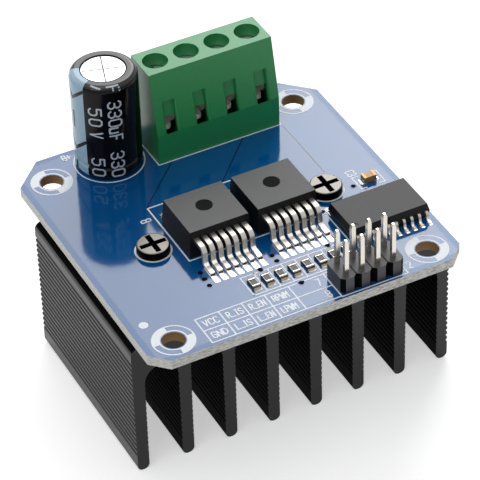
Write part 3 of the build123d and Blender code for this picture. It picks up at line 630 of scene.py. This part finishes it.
def fillets(name, x, y, out, wide, tall, run, look=solder, steps=7):
    """Hollow quarter ellipse, height one minus the sine of the way out, carried across the
    width. out[form, xy] is the direction in which each fillet runs from the part."""
    out = np.asarray(out, float)
    turn = np.linspace(0, math.pi / 2, steps)
    away = np.concatenate([run * (1 - np.cos(turn)), [0.0]])
    high = np.concatenate([tall * (1 - np.sin(turn)), [0.0]])
    side = np.stack([-out[:, 1], out[:, 0]], axis=-1)
    grid = np.empty((len(out), 2, steps + 1, 3))
    for ring, shift in enumerate((wide / 2, -wide / 2)):
        base = together(x, y) + shift * side
        grid[:, ring, :, :2] = base[:, None] + out[:, None] * away[None, :, None]
        grid[:, ring, :, 2] = TOP + 0.8 * PAD_HEIGHT + high
    return skin(name, grid, look, "solder", crease=50)


FRONT_AND_BACK = [[0, -1], [0, 1]]
LEFT_AND_RIGHT = [[-1, 0], [1, 0]]
chip_low, chip_high = corners("resistor_caps_1")
chip_ends = np.repeat([chip_low[1], chip_high[1]], len(resistor_x))
chip_ways = np.repeat(FRONT_AND_BACK, len(resistor_x), axis=0)
resistor_curve = {"wide": 1.05, "tall": 0.24, "run": 0.5, "look": dull_solder}
fillets("resistor_fillets", both_ends_x, chip_ends, chip_ways, **resistor_curve)
ceramic_low, ceramic_high = corners("ceramic_capacitor_caps")
ceramic_ends = [ceramic_low[0], ceramic_high[0]]
fillets("ceramic_fillets", ceramic_ends, ceramic_y, LEFT_AND_RIGHT, wide=1.1, tall=0.45, run=0.35)
logic_ends = np.repeat([logic_low[1], logic_high[1]], LOGIC_LEADS)
logic_ways = np.repeat(FRONT_AND_BACK, LOGIC_LEADS, axis=0)
fillets("logic_toe_fillets", logic_x, logic_ends, logic_ways, wide=0.4, tall=0.16, run=0.3)

# %% [markdown]
# ## Rings round the holes
# Each lead hole has a ring of copper on both faces. A ring is a small rectangle carried
# once round a circle, so its run closes on itself.

# %% Copper rings


def rings(name, x, y, inner, outer, low, high, look, slot=None, spans=None, steps=48):
    """Rectangle from inner to outer radius carried round each centre. Without spans it goes
    all the way round; with spans it covers the arc from start to end, in degrees."""
    centres = together(x, y)
    if spans is None:
        angle = np.tile(np.linspace(0, 2 * math.pi, steps, endpoint=False), (len(centres), 1))
    else:
        share = np.linspace(0, 1, steps)
        start, end = np.radians(np.asarray(spans, float)).T
        angle = start[:, None] + (end - start)[:, None] * share
    radius = np.array([inner, inner, outer, outer])
    grid = np.empty((*angle.shape, 4, 3))
    grid[..., 0] = centres[:, 0, None, None] + radius * np.cos(angle)[..., None]
    grid[..., 1] = centres[:, 1, None, None] + radius * np.sin(angle)[..., None]
    grid[..., 2] = np.array([low, high, high, low])
    return skin(name, grid, look, slot, closed=spans is None)


COPPER = 0.04
LEAD_RADIUS = 0.3
RING_BELOW, RING_ABOVE = (0.85, 1.22), (0.75, 1.05)
header_pins = np.array([middle(name)[:2] for name in sorted(numbered("header_pin"))])
contact_back = corners("terminal_contact_1")[1][1] - LEAD_RADIUS
poles = together([middle(name)[0] for name in sorted(numbered("terminal_contact"))], contact_back)
lead_low, lead_high = corners("capacitor_leads")
can_leads = together([lead_low[0] + LEAD_RADIUS, lead_high[0] - LEAD_RADIUS], can_y)
joints = np.vstack([header_pins, poles, can_leads]).T
below = (*RING_BELOW, UNDERSIDE - COPPER, UNDERSIDE)
rings("copper_rings_below", *joints, *below, solder, "solder", steps=32)
rings("copper_rings_above", *joints, *RING_ABOVE, TOP, TOP + COPPER, solder, "solder", steps=32)

# %% [markdown]
# ## Thin films from pen lines and dots
# Print, gaps and marks are films a few hundredths of a millimetre thick. A line is what
# a round pen leaves: a half circle at each end. Two tops in one plane would flicker.

# %% Helpers: pen lines, dots and films


def staggered(count, step=0.0015, levels=9):
    """Tiny extra heights in turn, so that pen lines that cross never share one plane."""
    return step * (np.arange(count) % levels)


def strokes(lines, wide, steps=5):
    """Outline of each pen line x0, y0, x1, y1: a half circle round its end, then its start."""
    start, end = lines[:, :2], lines[:, 2:]
    heading = np.arctan2(end[:, 1] - start[:, 1], end[:, 0] - start[:, 0])
    swing = heading[:, None] + np.linspace(-math.pi / 2, math.pi / 2, steps)
    round_end = np.stack([np.cos(swing), np.sin(swing)], axis=-1) * wide / 2
    return np.concatenate([end[:, None] + round_end, start[:, None] - round_end], axis=1)


def dots(x, y, wide, steps=16):
    """Circles of this diameter, as outlines."""
    angle = np.linspace(0, 2 * math.pi, steps, endpoint=False)
    around = np.stack([np.cos(angle), np.sin(angle)], axis=-1) * wide / 2
    return together(x, y)[:, None] + around


def film(name, outlines, look, thick, base=TOP):
    """Thin flat sheets with these outlines, standing on the board or another base."""
    tops = base + thick + staggered(len(outlines))
    return skin(name, stack([outlines, outlines], [base, tops]), look)


# %% [markdown]
# ## Marks and rims on the small parts
# Each driver chip has a round mark where a pin of the mould pushed it out, smooth and
# dark. The glaze of a resistor stops short of the edge, so white alumina shows along
# its sides, and a bright strip of tin along the inner edge of each end cap is a painted highlight.
# Thin seams in the notches' painted shade join the notches across the top of the header.

# %% Marks, rims and seams
MARK_SHIFT, MARK_DEEP, MARK_WIDE, MARK_FILM = 0.5, 0.08, 2.5, 0.01
RIM_INSET, RIM_HALF, RIM_PEN = 0.3, 0.54, 0.09
SIDE_INSET, SIDE_HALF, SIDE_PEN = 0.4, 0.51, 0.07
RIM_FILM, RIM_SUNK = 0.012, 0.004
SEAM_INSET, SEAM_PEN, SEAM_FILM, SEAM_SUNK = 0.5, 0.16, 0.008, 0.002
# Darker and smoother than the blasted top round it.
mark_epoxy = plain_finish("epoxy_polished_mark", "060607", "0C0C0D", 0.5, 1.5, 0.16, 0.01, 0.03)
for name in drivers:
    mark_x, mark_y = middle(name + "_body")[:2]
    mark_floor = corners(name + "_body")[1][2] - MARK_DEEP
    mark = dots(mark_x, mark_y + MARK_SHIFT, MARK_WIDE, steps=40)
    film(name + "_body_mark", mark, mark_epoxy, MARK_FILM, mark_floor)
rim_y = np.repeat([chip_low[1] + RIM_INSET, chip_high[1] - RIM_INSET], len(resistor_x))
rim_lines = together(both_ends_x - RIM_HALF, rim_y, both_ends_x + RIM_HALF, rim_y)
# Painted highlight: a strip of bright metal along the inner edge of each end cap.
film("resistor_cap_painted_highlights", strokes(rim_lines, RIM_PEN), solder, RIM_FILM, chip_high[2] - RIM_SUNK)
side_x = np.concatenate([resistor_x - SIDE_HALF, resistor_x + SIDE_HALF])
side_lines = together(side_x, chip_low[1] + SIDE_INSET, side_x, chip_high[1] - SIDE_INSET)
glaze_top = corners("resistor_body_1")[1][2]
film("resistor_sides", strokes(side_lines, SIDE_PEN), alumina, RIM_FILM, glaze_top - RIM_SUNK)
header_low, header_high = corners("header_base")
columns = np.unique(np.round(header_pins[:, 0], 2))
seam_x = (columns[:-1] + columns[1:]) / 2
seam_lines = together(seam_x, header_low[1] + SEAM_INSET, seam_x, header_high[1] - SEAM_INSET)
# Dark seams across the top, in the notches' painted shade.
film("header_seams", strokes(seam_lines, SEAM_PEN), notch_painted_shade, SEAM_FILM, header_high[2] - SEAM_SUNK)

# %% [markdown]
# ## Copper that shows through the mask
# Plated holes between the layers are filled with mask and show as small dark dots with
# a raised rim. Where two copper areas meet, the mask dips into the gap and shows a thin
# darker line.

# %% Filled holes and gaps between copper areas


def coat(name, colour, spots, deep, **sockets):
    """One colour whose surface rolls gently, as a poured or printed film does."""
    made, tree, shader = finish(name, colour, **sockets)
    relief(tree, shader, grain(tree, spots), deep)
    return made


PIT_DIAMETER, PIT_FILM = 0.8, 0.03
PIT_RIM, PIT_RIM_HEIGHT = 0.16, 0.02
GAP_PEN, GAP_FILM = 0.17, 0.012
VIAS = np.array([
    [-10.54, -10.18], [-10.65, -11.71], [-10.65, -13.3], [0.16, -11.78], [0.23, -13.15], [-2.74, -13.63],
    [1.0, -19.12], [11.29, -6.52], [8.24, -13.57], [18.17, -3.45],
])
GAPS = np.array([[-2.45, 15.11, -10.74, 6.83], [9.55, 15.15, 1.6, 6.75], [16.1, 16.0, 16.1, 1.65]])
# A hole reads as a black dot.
pit = coat("plated_hole_shadow", "020203", 0.2, 0.02, Roughness=0.9, Specular_IOR_Level=0.1)
# Mask over bare laminate is darker than over copper, and as glossy.
dark_mask = coat("solder_mask_over_gap", "041733", 1.0, 0.01, Roughness=0.12, IOR=1.58)
film("filled_holes", dots(*VIAS.T, PIT_DIAMETER), pit, PIT_FILM)
rim_shape = (PIT_DIAMETER / 2, PIT_DIAMETER / 2 + PIT_RIM, TOP, TOP + PIT_RIM_HEIGHT)
rings("filled_hole_rims", *VIAS.T, *rim_shape, solder_mask, steps=20)
film("copper_gaps", strokes(GAPS, GAP_PEN), dark_mask, GAP_FILM)

# %% [markdown]
# ## White print: lines
# The white lines on the board are epoxy ink pushed through a screen. They are flat,
# matt and barely thicker than paint, and they frame the parts, the label table and the
# row of resistors.

# %% Printed lines
PRINT = 0.02
LINE = 0.22
TABLE_X = (-15.85, -12.15, -8.54, -4.91, -1.07)
TABLE_Y = (-18.95, -21.7, -24.45)
HEADER_FRAME = (4.6, -24.6, 15.3, -18.85)
DRIVER_FRAME = (-10.7, -7.07, 11.5, 6.66)
LOGIC_LINE = [11.5, -15.0, 11.5, -8.0]
BRACKET_Y = (-4.65, -1.7)
BRACKET_FAR, BRACKET_NEAR = 2.0, 1.1
BLOCK_ROOM_X, BLOCK_ROOM_Y = 0.15, 0.2
LADDER_X = resistor_x[0] + (resistor_x[1] - resistor_x[0]) * (np.arange(len(resistor_x) + 1) - 0.5)
LADDER_Y = (-18.35, -14.05)


def ink_finish():
    """Matt white ink, slightly uneven where the screen's threads held it back."""
    made, tree, shader = finish("epoxy_ink_screened", "EDF3F8", Roughness=0.55, IOR=1.5)
    tint(tree, shader, grain(tree, 0.25), "E0EAF3", "FBFDFF")
    return made


def box_lines(left, front, right, back):
    """Four lines of an upright rectangle."""
    spots = [(left, front), (right, front), (right, back), (left, back)]
    return [[*start, *end] for start, end in zip(spots, spots[1:] + spots[:1])]


def printed_lines():
    """All straight lines of the white print."""
    lines = [[TABLE_X[0], y, HEADER_FRAME[0], y] for y in TABLE_Y]
    lines += [[x, TABLE_Y[0], x, TABLE_Y[-1]] for x in TABLE_X]
    lines += [[x, LADDER_Y[0], x, LADDER_Y[1]] for x in LADDER_X]
    lines += [[LADDER_X[0], y, LADDER_X[-1], y] for y in LADDER_Y]
    lines += box_lines(*HEADER_FRAME) + box_lines(*DRIVER_FRAME)
    low, high = corners("terminal_housing")
    left, right = low[0] - BLOCK_ROOM_X, high[0] + BLOCK_ROOM_X
    lines += box_lines(left, low[1] - BLOCK_ROOM_Y, right, high[1] + BLOCK_ROOM_Y)
    for side in (-1, 1):
        x, inner = ceramic_x + BRACKET_FAR * side, ceramic_x + BRACKET_NEAR * side
        lines += [[x, BRACKET_Y[0], x, BRACKET_Y[1]]] + [[x, y, inner, y] for y in BRACKET_Y]
    return np.array(lines + [LOGIC_LINE])


ink = ink_finish()
film("print_lines", strokes(printed_lines(), LINE), ink, PRINT)

# %% [markdown]
# ## White print: rings
# Rings mark the places of round parts: the capacitor, with a gap at its back, and the
# two clamp screws. Every mounting hole has two thin rings, and between them two facing
# quarters are filled.

# %% Printed rings
CAN_RING = (5.2, 5.42)
CAN_SPAN = [112, 428]
SCREW_RING = (2.45, 2.78)
DOT_PLACE, DOT_WIDE = (-22.61, -16.47), 1.4
HOLE_X = np.array([-20.32, 20.32, -20.32, 20.32])
HOLE_Y = np.array([-21.32, -21.32, 19.32, 19.32])
INNER_RING, OUTER_RING = 1.9, 3.17


def printed_rings(name, x, y, inner, outer, **more):
    """White rings on the board's top."""
    return rings(name, x, y, inner, outer, TOP, TOP + PRINT, ink, **more)


printed_rings("print_can_ring", can_x, can_y, *CAN_RING, spans=[CAN_SPAN], steps=72)
screw_radius = (screw_high[1] - screw_low[1]) / 2
screw_x = [screw_low[0] + screw_radius, screw_high[0] - screw_radius]
printed_rings("print_screw_rings", screw_x, middle("heat_sink_screws")[1], *SCREW_RING)
film("print_dot", dots(*DOT_PLACE, DOT_WIDE, steps=28), ink, PRINT)
printed_rings("print_hole_inner", HOLE_X, HOLE_Y, INNER_RING, INNER_RING + LINE)
printed_rings("print_hole_outer", HOLE_X, HOLE_Y, OUTER_RING - LINE, OUTER_RING)
quarters = [[90, 180]] * 4 + [[270, 360]] * 4
band = (INNER_RING + LINE, OUTER_RING - LINE)
printed_rings("print_hole_quarters", np.tile(HOLE_X, 2), np.tile(HOLE_Y, 2), *band, spans=quarters, steps=16)

# %% [markdown]
# ## White print: pin labels
# The labels say what each pin of the header does. Board makers draw such letters with a
# single pen line, so each letter here is a path over a small grid, four steps wide and
# six steps high, written as pairs of digits.

# %% Helper: letters from pen lines
PATHS = {
    "0": "10 30 41 45 36 16 05 01 10", "1": "04 26 20", "2": "05 16 36 45 44 00 40",
    "3": "05 16 36 45 44 33 13,33 42 41 30 10 01", "5": "46 06 04 34 43 41 30 10 01",
    "7": "06 46 10", "8": "13 04 05 16 36 45 44 33 13 02 01 10 30 41 42 33",
    "B": "00 06 36 45 44 33 03,33 42 41 30 00", "C": "45 36 16 05 01 10 30 41",
    "D": "00 06 26 44 42 20 00", "E": "46 06 00 40,03 33", "F": "46 06 00,03 33",
    "G": "45 36 16 05 01 10 30 41 43 23", "I": "10 30,20 26,16 36", "L": "06 00 40",
    "M": "00 06 23 46 40", "N": "00 06 40 46", "P": "00 06 36 45 44 33 03",
    "R": "00 06 36 45 44 33 03,23 40", "S": "45 36 16 05 04 13 33 42 41 30 10 01", "V": "06 20 46",
    "W": "06 10 24 30 46", "_": "00 40", "+": "03 43,21 25", "u": "00 04,01 10 30 41,44 40",
}
GRID_WIDE, GRID_TALL = 4, 6


def letters(word, x, y, tall, turn=0.0, wide=0.6, gap=1.5):
    """Pen lines of a word that starts at x, y: grid steps are a sixth of the height, squeezed
    to their width, set side by side and turned about the start."""
    lines = []
    for order, letter in enumerate(word):
        for path in PATHS[letter].split(","):
            marks = np.array([[int(digit) for digit in pair] for pair in path.split()], float)
            marks[:, 0] = (marks[:, 0] + order * (GRID_WIDE + gap)) * wide
            lines.append(np.hstack([marks[:-1], marks[1:]]))
    angle = math.radians(turn)
    spin = np.array([[math.cos(angle), math.sin(angle)], [-math.sin(angle), math.cos(angle)]])
    flat = np.vstack(lines).reshape(-1, 2) @ spin * (tall / GRID_TALL) + (x, y)
    return flat.reshape(-1, 4)


# %% [markdown]
# The table in front has a cell for each pin, whose word is squeezed to fit. The numbers
# beside the header count its pins, and single labels name the parts next to them.

# %% Printed labels
PEN = 0.21
LETTER_PRINT = 0.021
TABLE_WORDS = [("VCC", "R_IS", "R_EN", "RPWM"), ("GND", "L_IS", "L_EN", "LPWM")]
CELL_INSET, CELL_LIFT, CELL_TALL, CELL_WIDE = 0.7, 0.75, 1.25, 2.2
LABELS = [
    ("7", 2.9, -21.0, 1.5), ("8", 2.9, -23.9, 1.5), ("1", 16.0, -21.4, 1.5), ("2", 16.0, -23.9, 1.5),
    ("C3", 18.6, 0.0, 1.35, -90), ("B", -11.4, 3.9, 1.5, 90), ("B+", -16.6, 23.0, 1.3),
]
words = []
for foot, line in zip(TABLE_Y[1:], TABLE_WORDS):
    for left, word in zip(TABLE_X, line):
        squeezed = CELL_WIDE / len(word)
        words.append(letters(word, left + CELL_INSET, foot + CELL_LIFT, CELL_TALL, wide=squeezed))
words += [letters(*label) for label in LABELS]
film("print_letters", strokes(np.vstack(words), PEN), ink, LETTER_PRINT)

# %% [markdown]
# ## Print on the capacitor's sleeve
# The sleeve is printed before it is shrunk on, so its print bends with the can and over
# its shoulder. A point of the print is given by its distance round the can and its
# distance along the skin from the foot: straight up the wall, round the shoulder, then
# in over the top.

# %% Helpers: bend print onto the can
WALL = can_high[2] - can_low[2] - SHOULDER
WRAP = SHOULDER * math.pi / 2
SKIN_START, SKIN_END = 0.6, WALL + 0.8 * WRAP
INK_FOOT, INK_TOP = 0.004, 0.02


def on_can(round_way, along, out):
    """Place in mm for a distance round the can (0 faces the front edge), a distance along
    the skin from its foot, and a distance out of the skin."""
    bend = np.clip((along - WALL) / SHOULDER, 0, math.pi / 2)
    radius = can_radius - SHOULDER + (SHOULDER + out) * np.cos(bend)
    height = can_low[2] + np.minimum(along, WALL) + (SHOULDER + out) * np.sin(bend)
    angle = round_way / can_radius
    return np.stack([can_x + radius * np.sin(angle), can_y - radius * np.cos(angle), height], axis=-1)


def split(lines, longest=0.45):
    """Cuts each pen line into equal parts no longer than this, so that it can follow a curve."""
    parts = []
    for line in lines:
        count = max(1, math.ceil(math.hypot(line[2] - line[0], line[3] - line[1]) / longest))
        share = np.linspace(0, 1, count + 1)[:, None]
        marks = line[:2] + share * (line[2:] - line[:2])
        parts.append(np.hstack([marks[:-1], marks[1:]]))
    return np.vstack(parts)


def sleeve_print(name, lines, wide, look):
    """Pen lines laid on the sleeve: two rings, one under the skin of the ink and one on it."""
    lines = split(lines)
    along = lines[:, [1, 3]]
    lines = lines[(along.max(axis=1) < SKIN_END) & (along.min(axis=1) > SKIN_START)]
    flat = strokes(lines, wide)
    top = INK_TOP + staggered(len(lines), 0.001)[:, None]
    grid = np.stack([on_can(flat[..., 0], flat[..., 1], out) for out in (INK_FOOT, top)], axis=1)
    return skin(name, grid, look, crease=50)


# %% [markdown]
# Dark arrows and bars are printed across the pale stripe, over and over, because the
# film is cut from a long tube. An arrow is two lines that meet at its tip, and a bar
# stands above each tip.

# %% Marks on the stripe
PERIOD = 9.2
FIRST_TIP = 4.5
ARROW_RISE = 2.1
BAR = (4.0, 6.6)
MARK_PEN = 0.5
MARK_X = STRIPE_MIDDLE * can_radius
MARK_HALF = STRIPE_HALF * can_radius - 0.1
# Black ink that takes a little of the film's gloss.
dark_ink = coat("film_ink_dark", "101013", 2.5, 0.01, Roughness=0.22, IOR=1.53, Specular_IOR_Level=0.15)
marks = []
for repeat in range(-1, 2):
    tip = FIRST_TIP + PERIOD * repeat
    marks.append([MARK_X - MARK_HALF, tip + ARROW_RISE, MARK_X, tip])
    marks.append([MARK_X, tip, MARK_X + MARK_HALF, tip + ARROW_RISE])
    marks.append([MARK_X, tip + BAR[0], MARK_X, tip + BAR[1]])
sleeve_print("sleeve_marks", np.array(marks), MARK_PEN, dark_ink)

# %% [markdown]
# The rating is repeated down the sleeve in two columns, one letter under the other and
# each turned on its side. The edge of the shrunk film stands up as a thin black lip
# round the bare top of the can.

# %% Rating and lip
REPEATS = (-PERIOD, 0.0, 8.75)
LETTER_TALL = 1.9
RATING_PEN = 0.26
NARROW, SLIM, BROAD = "uFV", 0.66, 0.9
RATING = {
    -8.5: [("3", 14.45), ("3", 12.8), ("0", 11.2), ("u", 9.7), ("F", 8.35)],
    -42.0: [("5", 13.3), ("0", 11.4), ("V", 8.95)],
}
LIP_RING, LIP_SUNK, LIP_BELOW = (3.3, 3.62), 0.05, 0.005
# Pale blue-white, glossy as the film.
label_ink = coat("film_ink_white", "C6CFD8", 2.5, 0.01, Roughness=0.25, IOR=1.53)
# A cut edge gives hardly any light back, so it is matt black.
film_edge = plain_finish("vinyl_film_edge", "060607", "0C0C0D", 0.5, 1.5, 0.16, 0.01, 0.03)
rating = []
for column, stacked in RATING.items():
    foot = math.radians(column) * can_radius - LETTER_TALL / 2
    for letter, top in stacked:
        wide = SLIM if letter in NARROW else BROAD
        rating += [letters(letter, foot, top + shift, LETTER_TALL, -90, wide) for shift in REPEATS]
sleeve_print("sleeve_rating", np.vstack(rating), RATING_PEN, label_ink)
lip_heights = (can_top - LIP_SUNK, can_high[2] - LIP_BELOW)
rings("sleeve_lip", can_x, can_y, *LIP_RING, *lip_heights, film_edge, steps=72)

# %% [markdown]
# ## Studio: floor and world
# The object stands on white paper. The camera and the reflections see the paper and the
# world as plain white, but the rays that light the object get much less from them.

# %% Floor and world
FLOOR_GLOW = 0.5
FLOOR_HALF = 1500.0
AMBIENT = 0.3


def as_background(tree):
    """1 on a ray from the camera, from a reflection or through glass, and 0 on others."""
    rays = add(tree, "LightPath").outputs
    seen = rays["Is Camera Ray"]
    for kind in ("Is Glossy Ray", "Is Transmission Ray"):
        seen = add(tree, "Math", {0: seen, 1: rays[kind]}, operation="MAXIMUM").outputs[0]
    return seen


def floor_material():
    """White paper with a glow that only the camera and reflections see."""
    made, tree, shader = finish("paper_matt", "F0F0F0", Roughness=0.9)
    relief(tree, shader, grain(tree, 1.0), 0.01, 0.2)
    glow = add(tree, "Math", {0: as_background(tree), 1: FLOOR_GLOW}, operation="MULTIPLY")
    tree.links.new(glow.outputs[0], shader.inputs["Emission Strength"])
    return made


floor_mesh = bpy.data.meshes.new("floor")
floor_corners = np.array([[-1, -1, 0], [1, -1, 0], [1, 1, 0], [-1, 1, 0]]) * FLOOR_HALF * MM
floor_mesh.from_pydata(floor_corners.tolist(), [], [[0, 1, 2, 3]])
floor_mesh.materials.append(floor_material())
floor = bpy.data.objects.new("floor", floor_mesh)
collection.objects.link(floor)
world = bpy.data.worlds.new("studio")
bpy.context.scene.world = world
world.use_nodes = True
sky = world.node_tree
sky.nodes.clear()
level = add(sky, "MapRange", {"Value": as_background(sky), "To Min": AMBIENT, "To Max": 1.0})
glow = add(sky, "Background", {"Color": linear("FFFFFF"), "Strength": level.outputs["Result"]})
add(sky, "OutputWorld", {"Surface": glow.outputs["Background"]})
bpy.context.scene.view_settings.view_transform = "Standard"
print("light from all round:", AMBIENT)

# %% [markdown]
# ## Studio: lamps
# One large soft lamp stands behind the object. Its reflection is what turns the blue
# board pale and the black chips grey. Its bulb sits to one side, so about half its width
# is dimmer, and so is the board's reflection there. Two weaker lamps, at the side and
# overhead, open up the shadows.

# %% Lamps


def lamp(name, way, far, wide, brightness):
    """Square soft lamp at this distance in metres along a direction, facing the object. Its
    power is brightness times pi times its area, so brightness is what a mirror would show."""
    data = bpy.data.lights.new(name, "AREA")
    data.shape = "SQUARE"
    data.size = wide
    data.energy = brightness * math.pi * wide**2
    made = bpy.data.objects.new(name, data)
    made.location = Vector(way).normalized() * far
    made.rotation_mode = "QUATERNION"
    made.rotation_quaternion = Vector(way).to_track_quat("Z", "Y")
    collection.objects.link(made)
    print(name, round(data.energy, 2), "W")
    return made


def fade(made, near, far, dimmer):
    """Dims a lamp smoothly across its width, from full at near to dimmer at far, both counted
    from 0 to 1 across it."""
    made.data.use_nodes = True
    tree = made.data.node_tree
    across = add(tree, "SeparateXYZ", {"Vector": add(tree, "NewGeometry").outputs["Parametric"]}).outputs["X"]
    span = {"Value": across, "From Min": near, "From Max": far, "To Min": 1.0, "To Max": dimmer}
    strength = add(tree, "MapRange", span, interpolation_type="SMOOTHSTEP").outputs["Result"]
    tree.links.new(strength, tree.nodes["Emission"].inputs["Strength"])


BULB_EDGE, DIM_EDGE, DIMMED = 0.44, 0.62, 0.62
back_lamp = lamp("back_lamp", (0.38, 0.7, 0.66), 1.2, 0.8, 5.0)
fade(back_lamp, BULB_EDGE, DIM_EDGE, DIMMED)
lamp("side_lamp", (-0.8, -0.5, 0.9), 1.3, 0.6, 1.3)
lamp("top_lamp", (-0.2, 0.05, 1.0), 1.2, 0.8, 1.3)

# %% [markdown]
# ## Camera
# A long lens far away keeps the board's edges nearly parallel. The camera stands in
# front of the left corner, looks down at the board's middle and leans two degrees.

# %% Camera
PICTURE = 480
FOCAL_PIXELS = 2892.1
SENSOR = 36.0
CAMERA_PLACE = Vector((-144.77, -296.18, 289.66)) * MM
CAMERA_AIM = Vector((-2.184, -6.369, 25.0)) * MM
CAMERA_LEAN = math.radians(-1.972)
camera_data = bpy.data.cameras.new("camera")
camera_data.sensor_width = SENSOR
camera_data.lens = FOCAL_PIXELS / PICTURE * SENSOR
camera = bpy.data.objects.new("camera", camera_data)
camera.location = CAMERA_PLACE
camera.rotation_mode = "QUATERNION"
facing = (CAMERA_AIM - CAMERA_PLACE).to_track_quat("-Z", "Y")
camera.rotation_quaternion = facing @ Quaternion((0, 0, 1), CAMERA_LEAN)
collection.objects.link(camera)
bpy.context.scene.camera = camera
print("lens", round(camera_data.lens, 1), "mm")
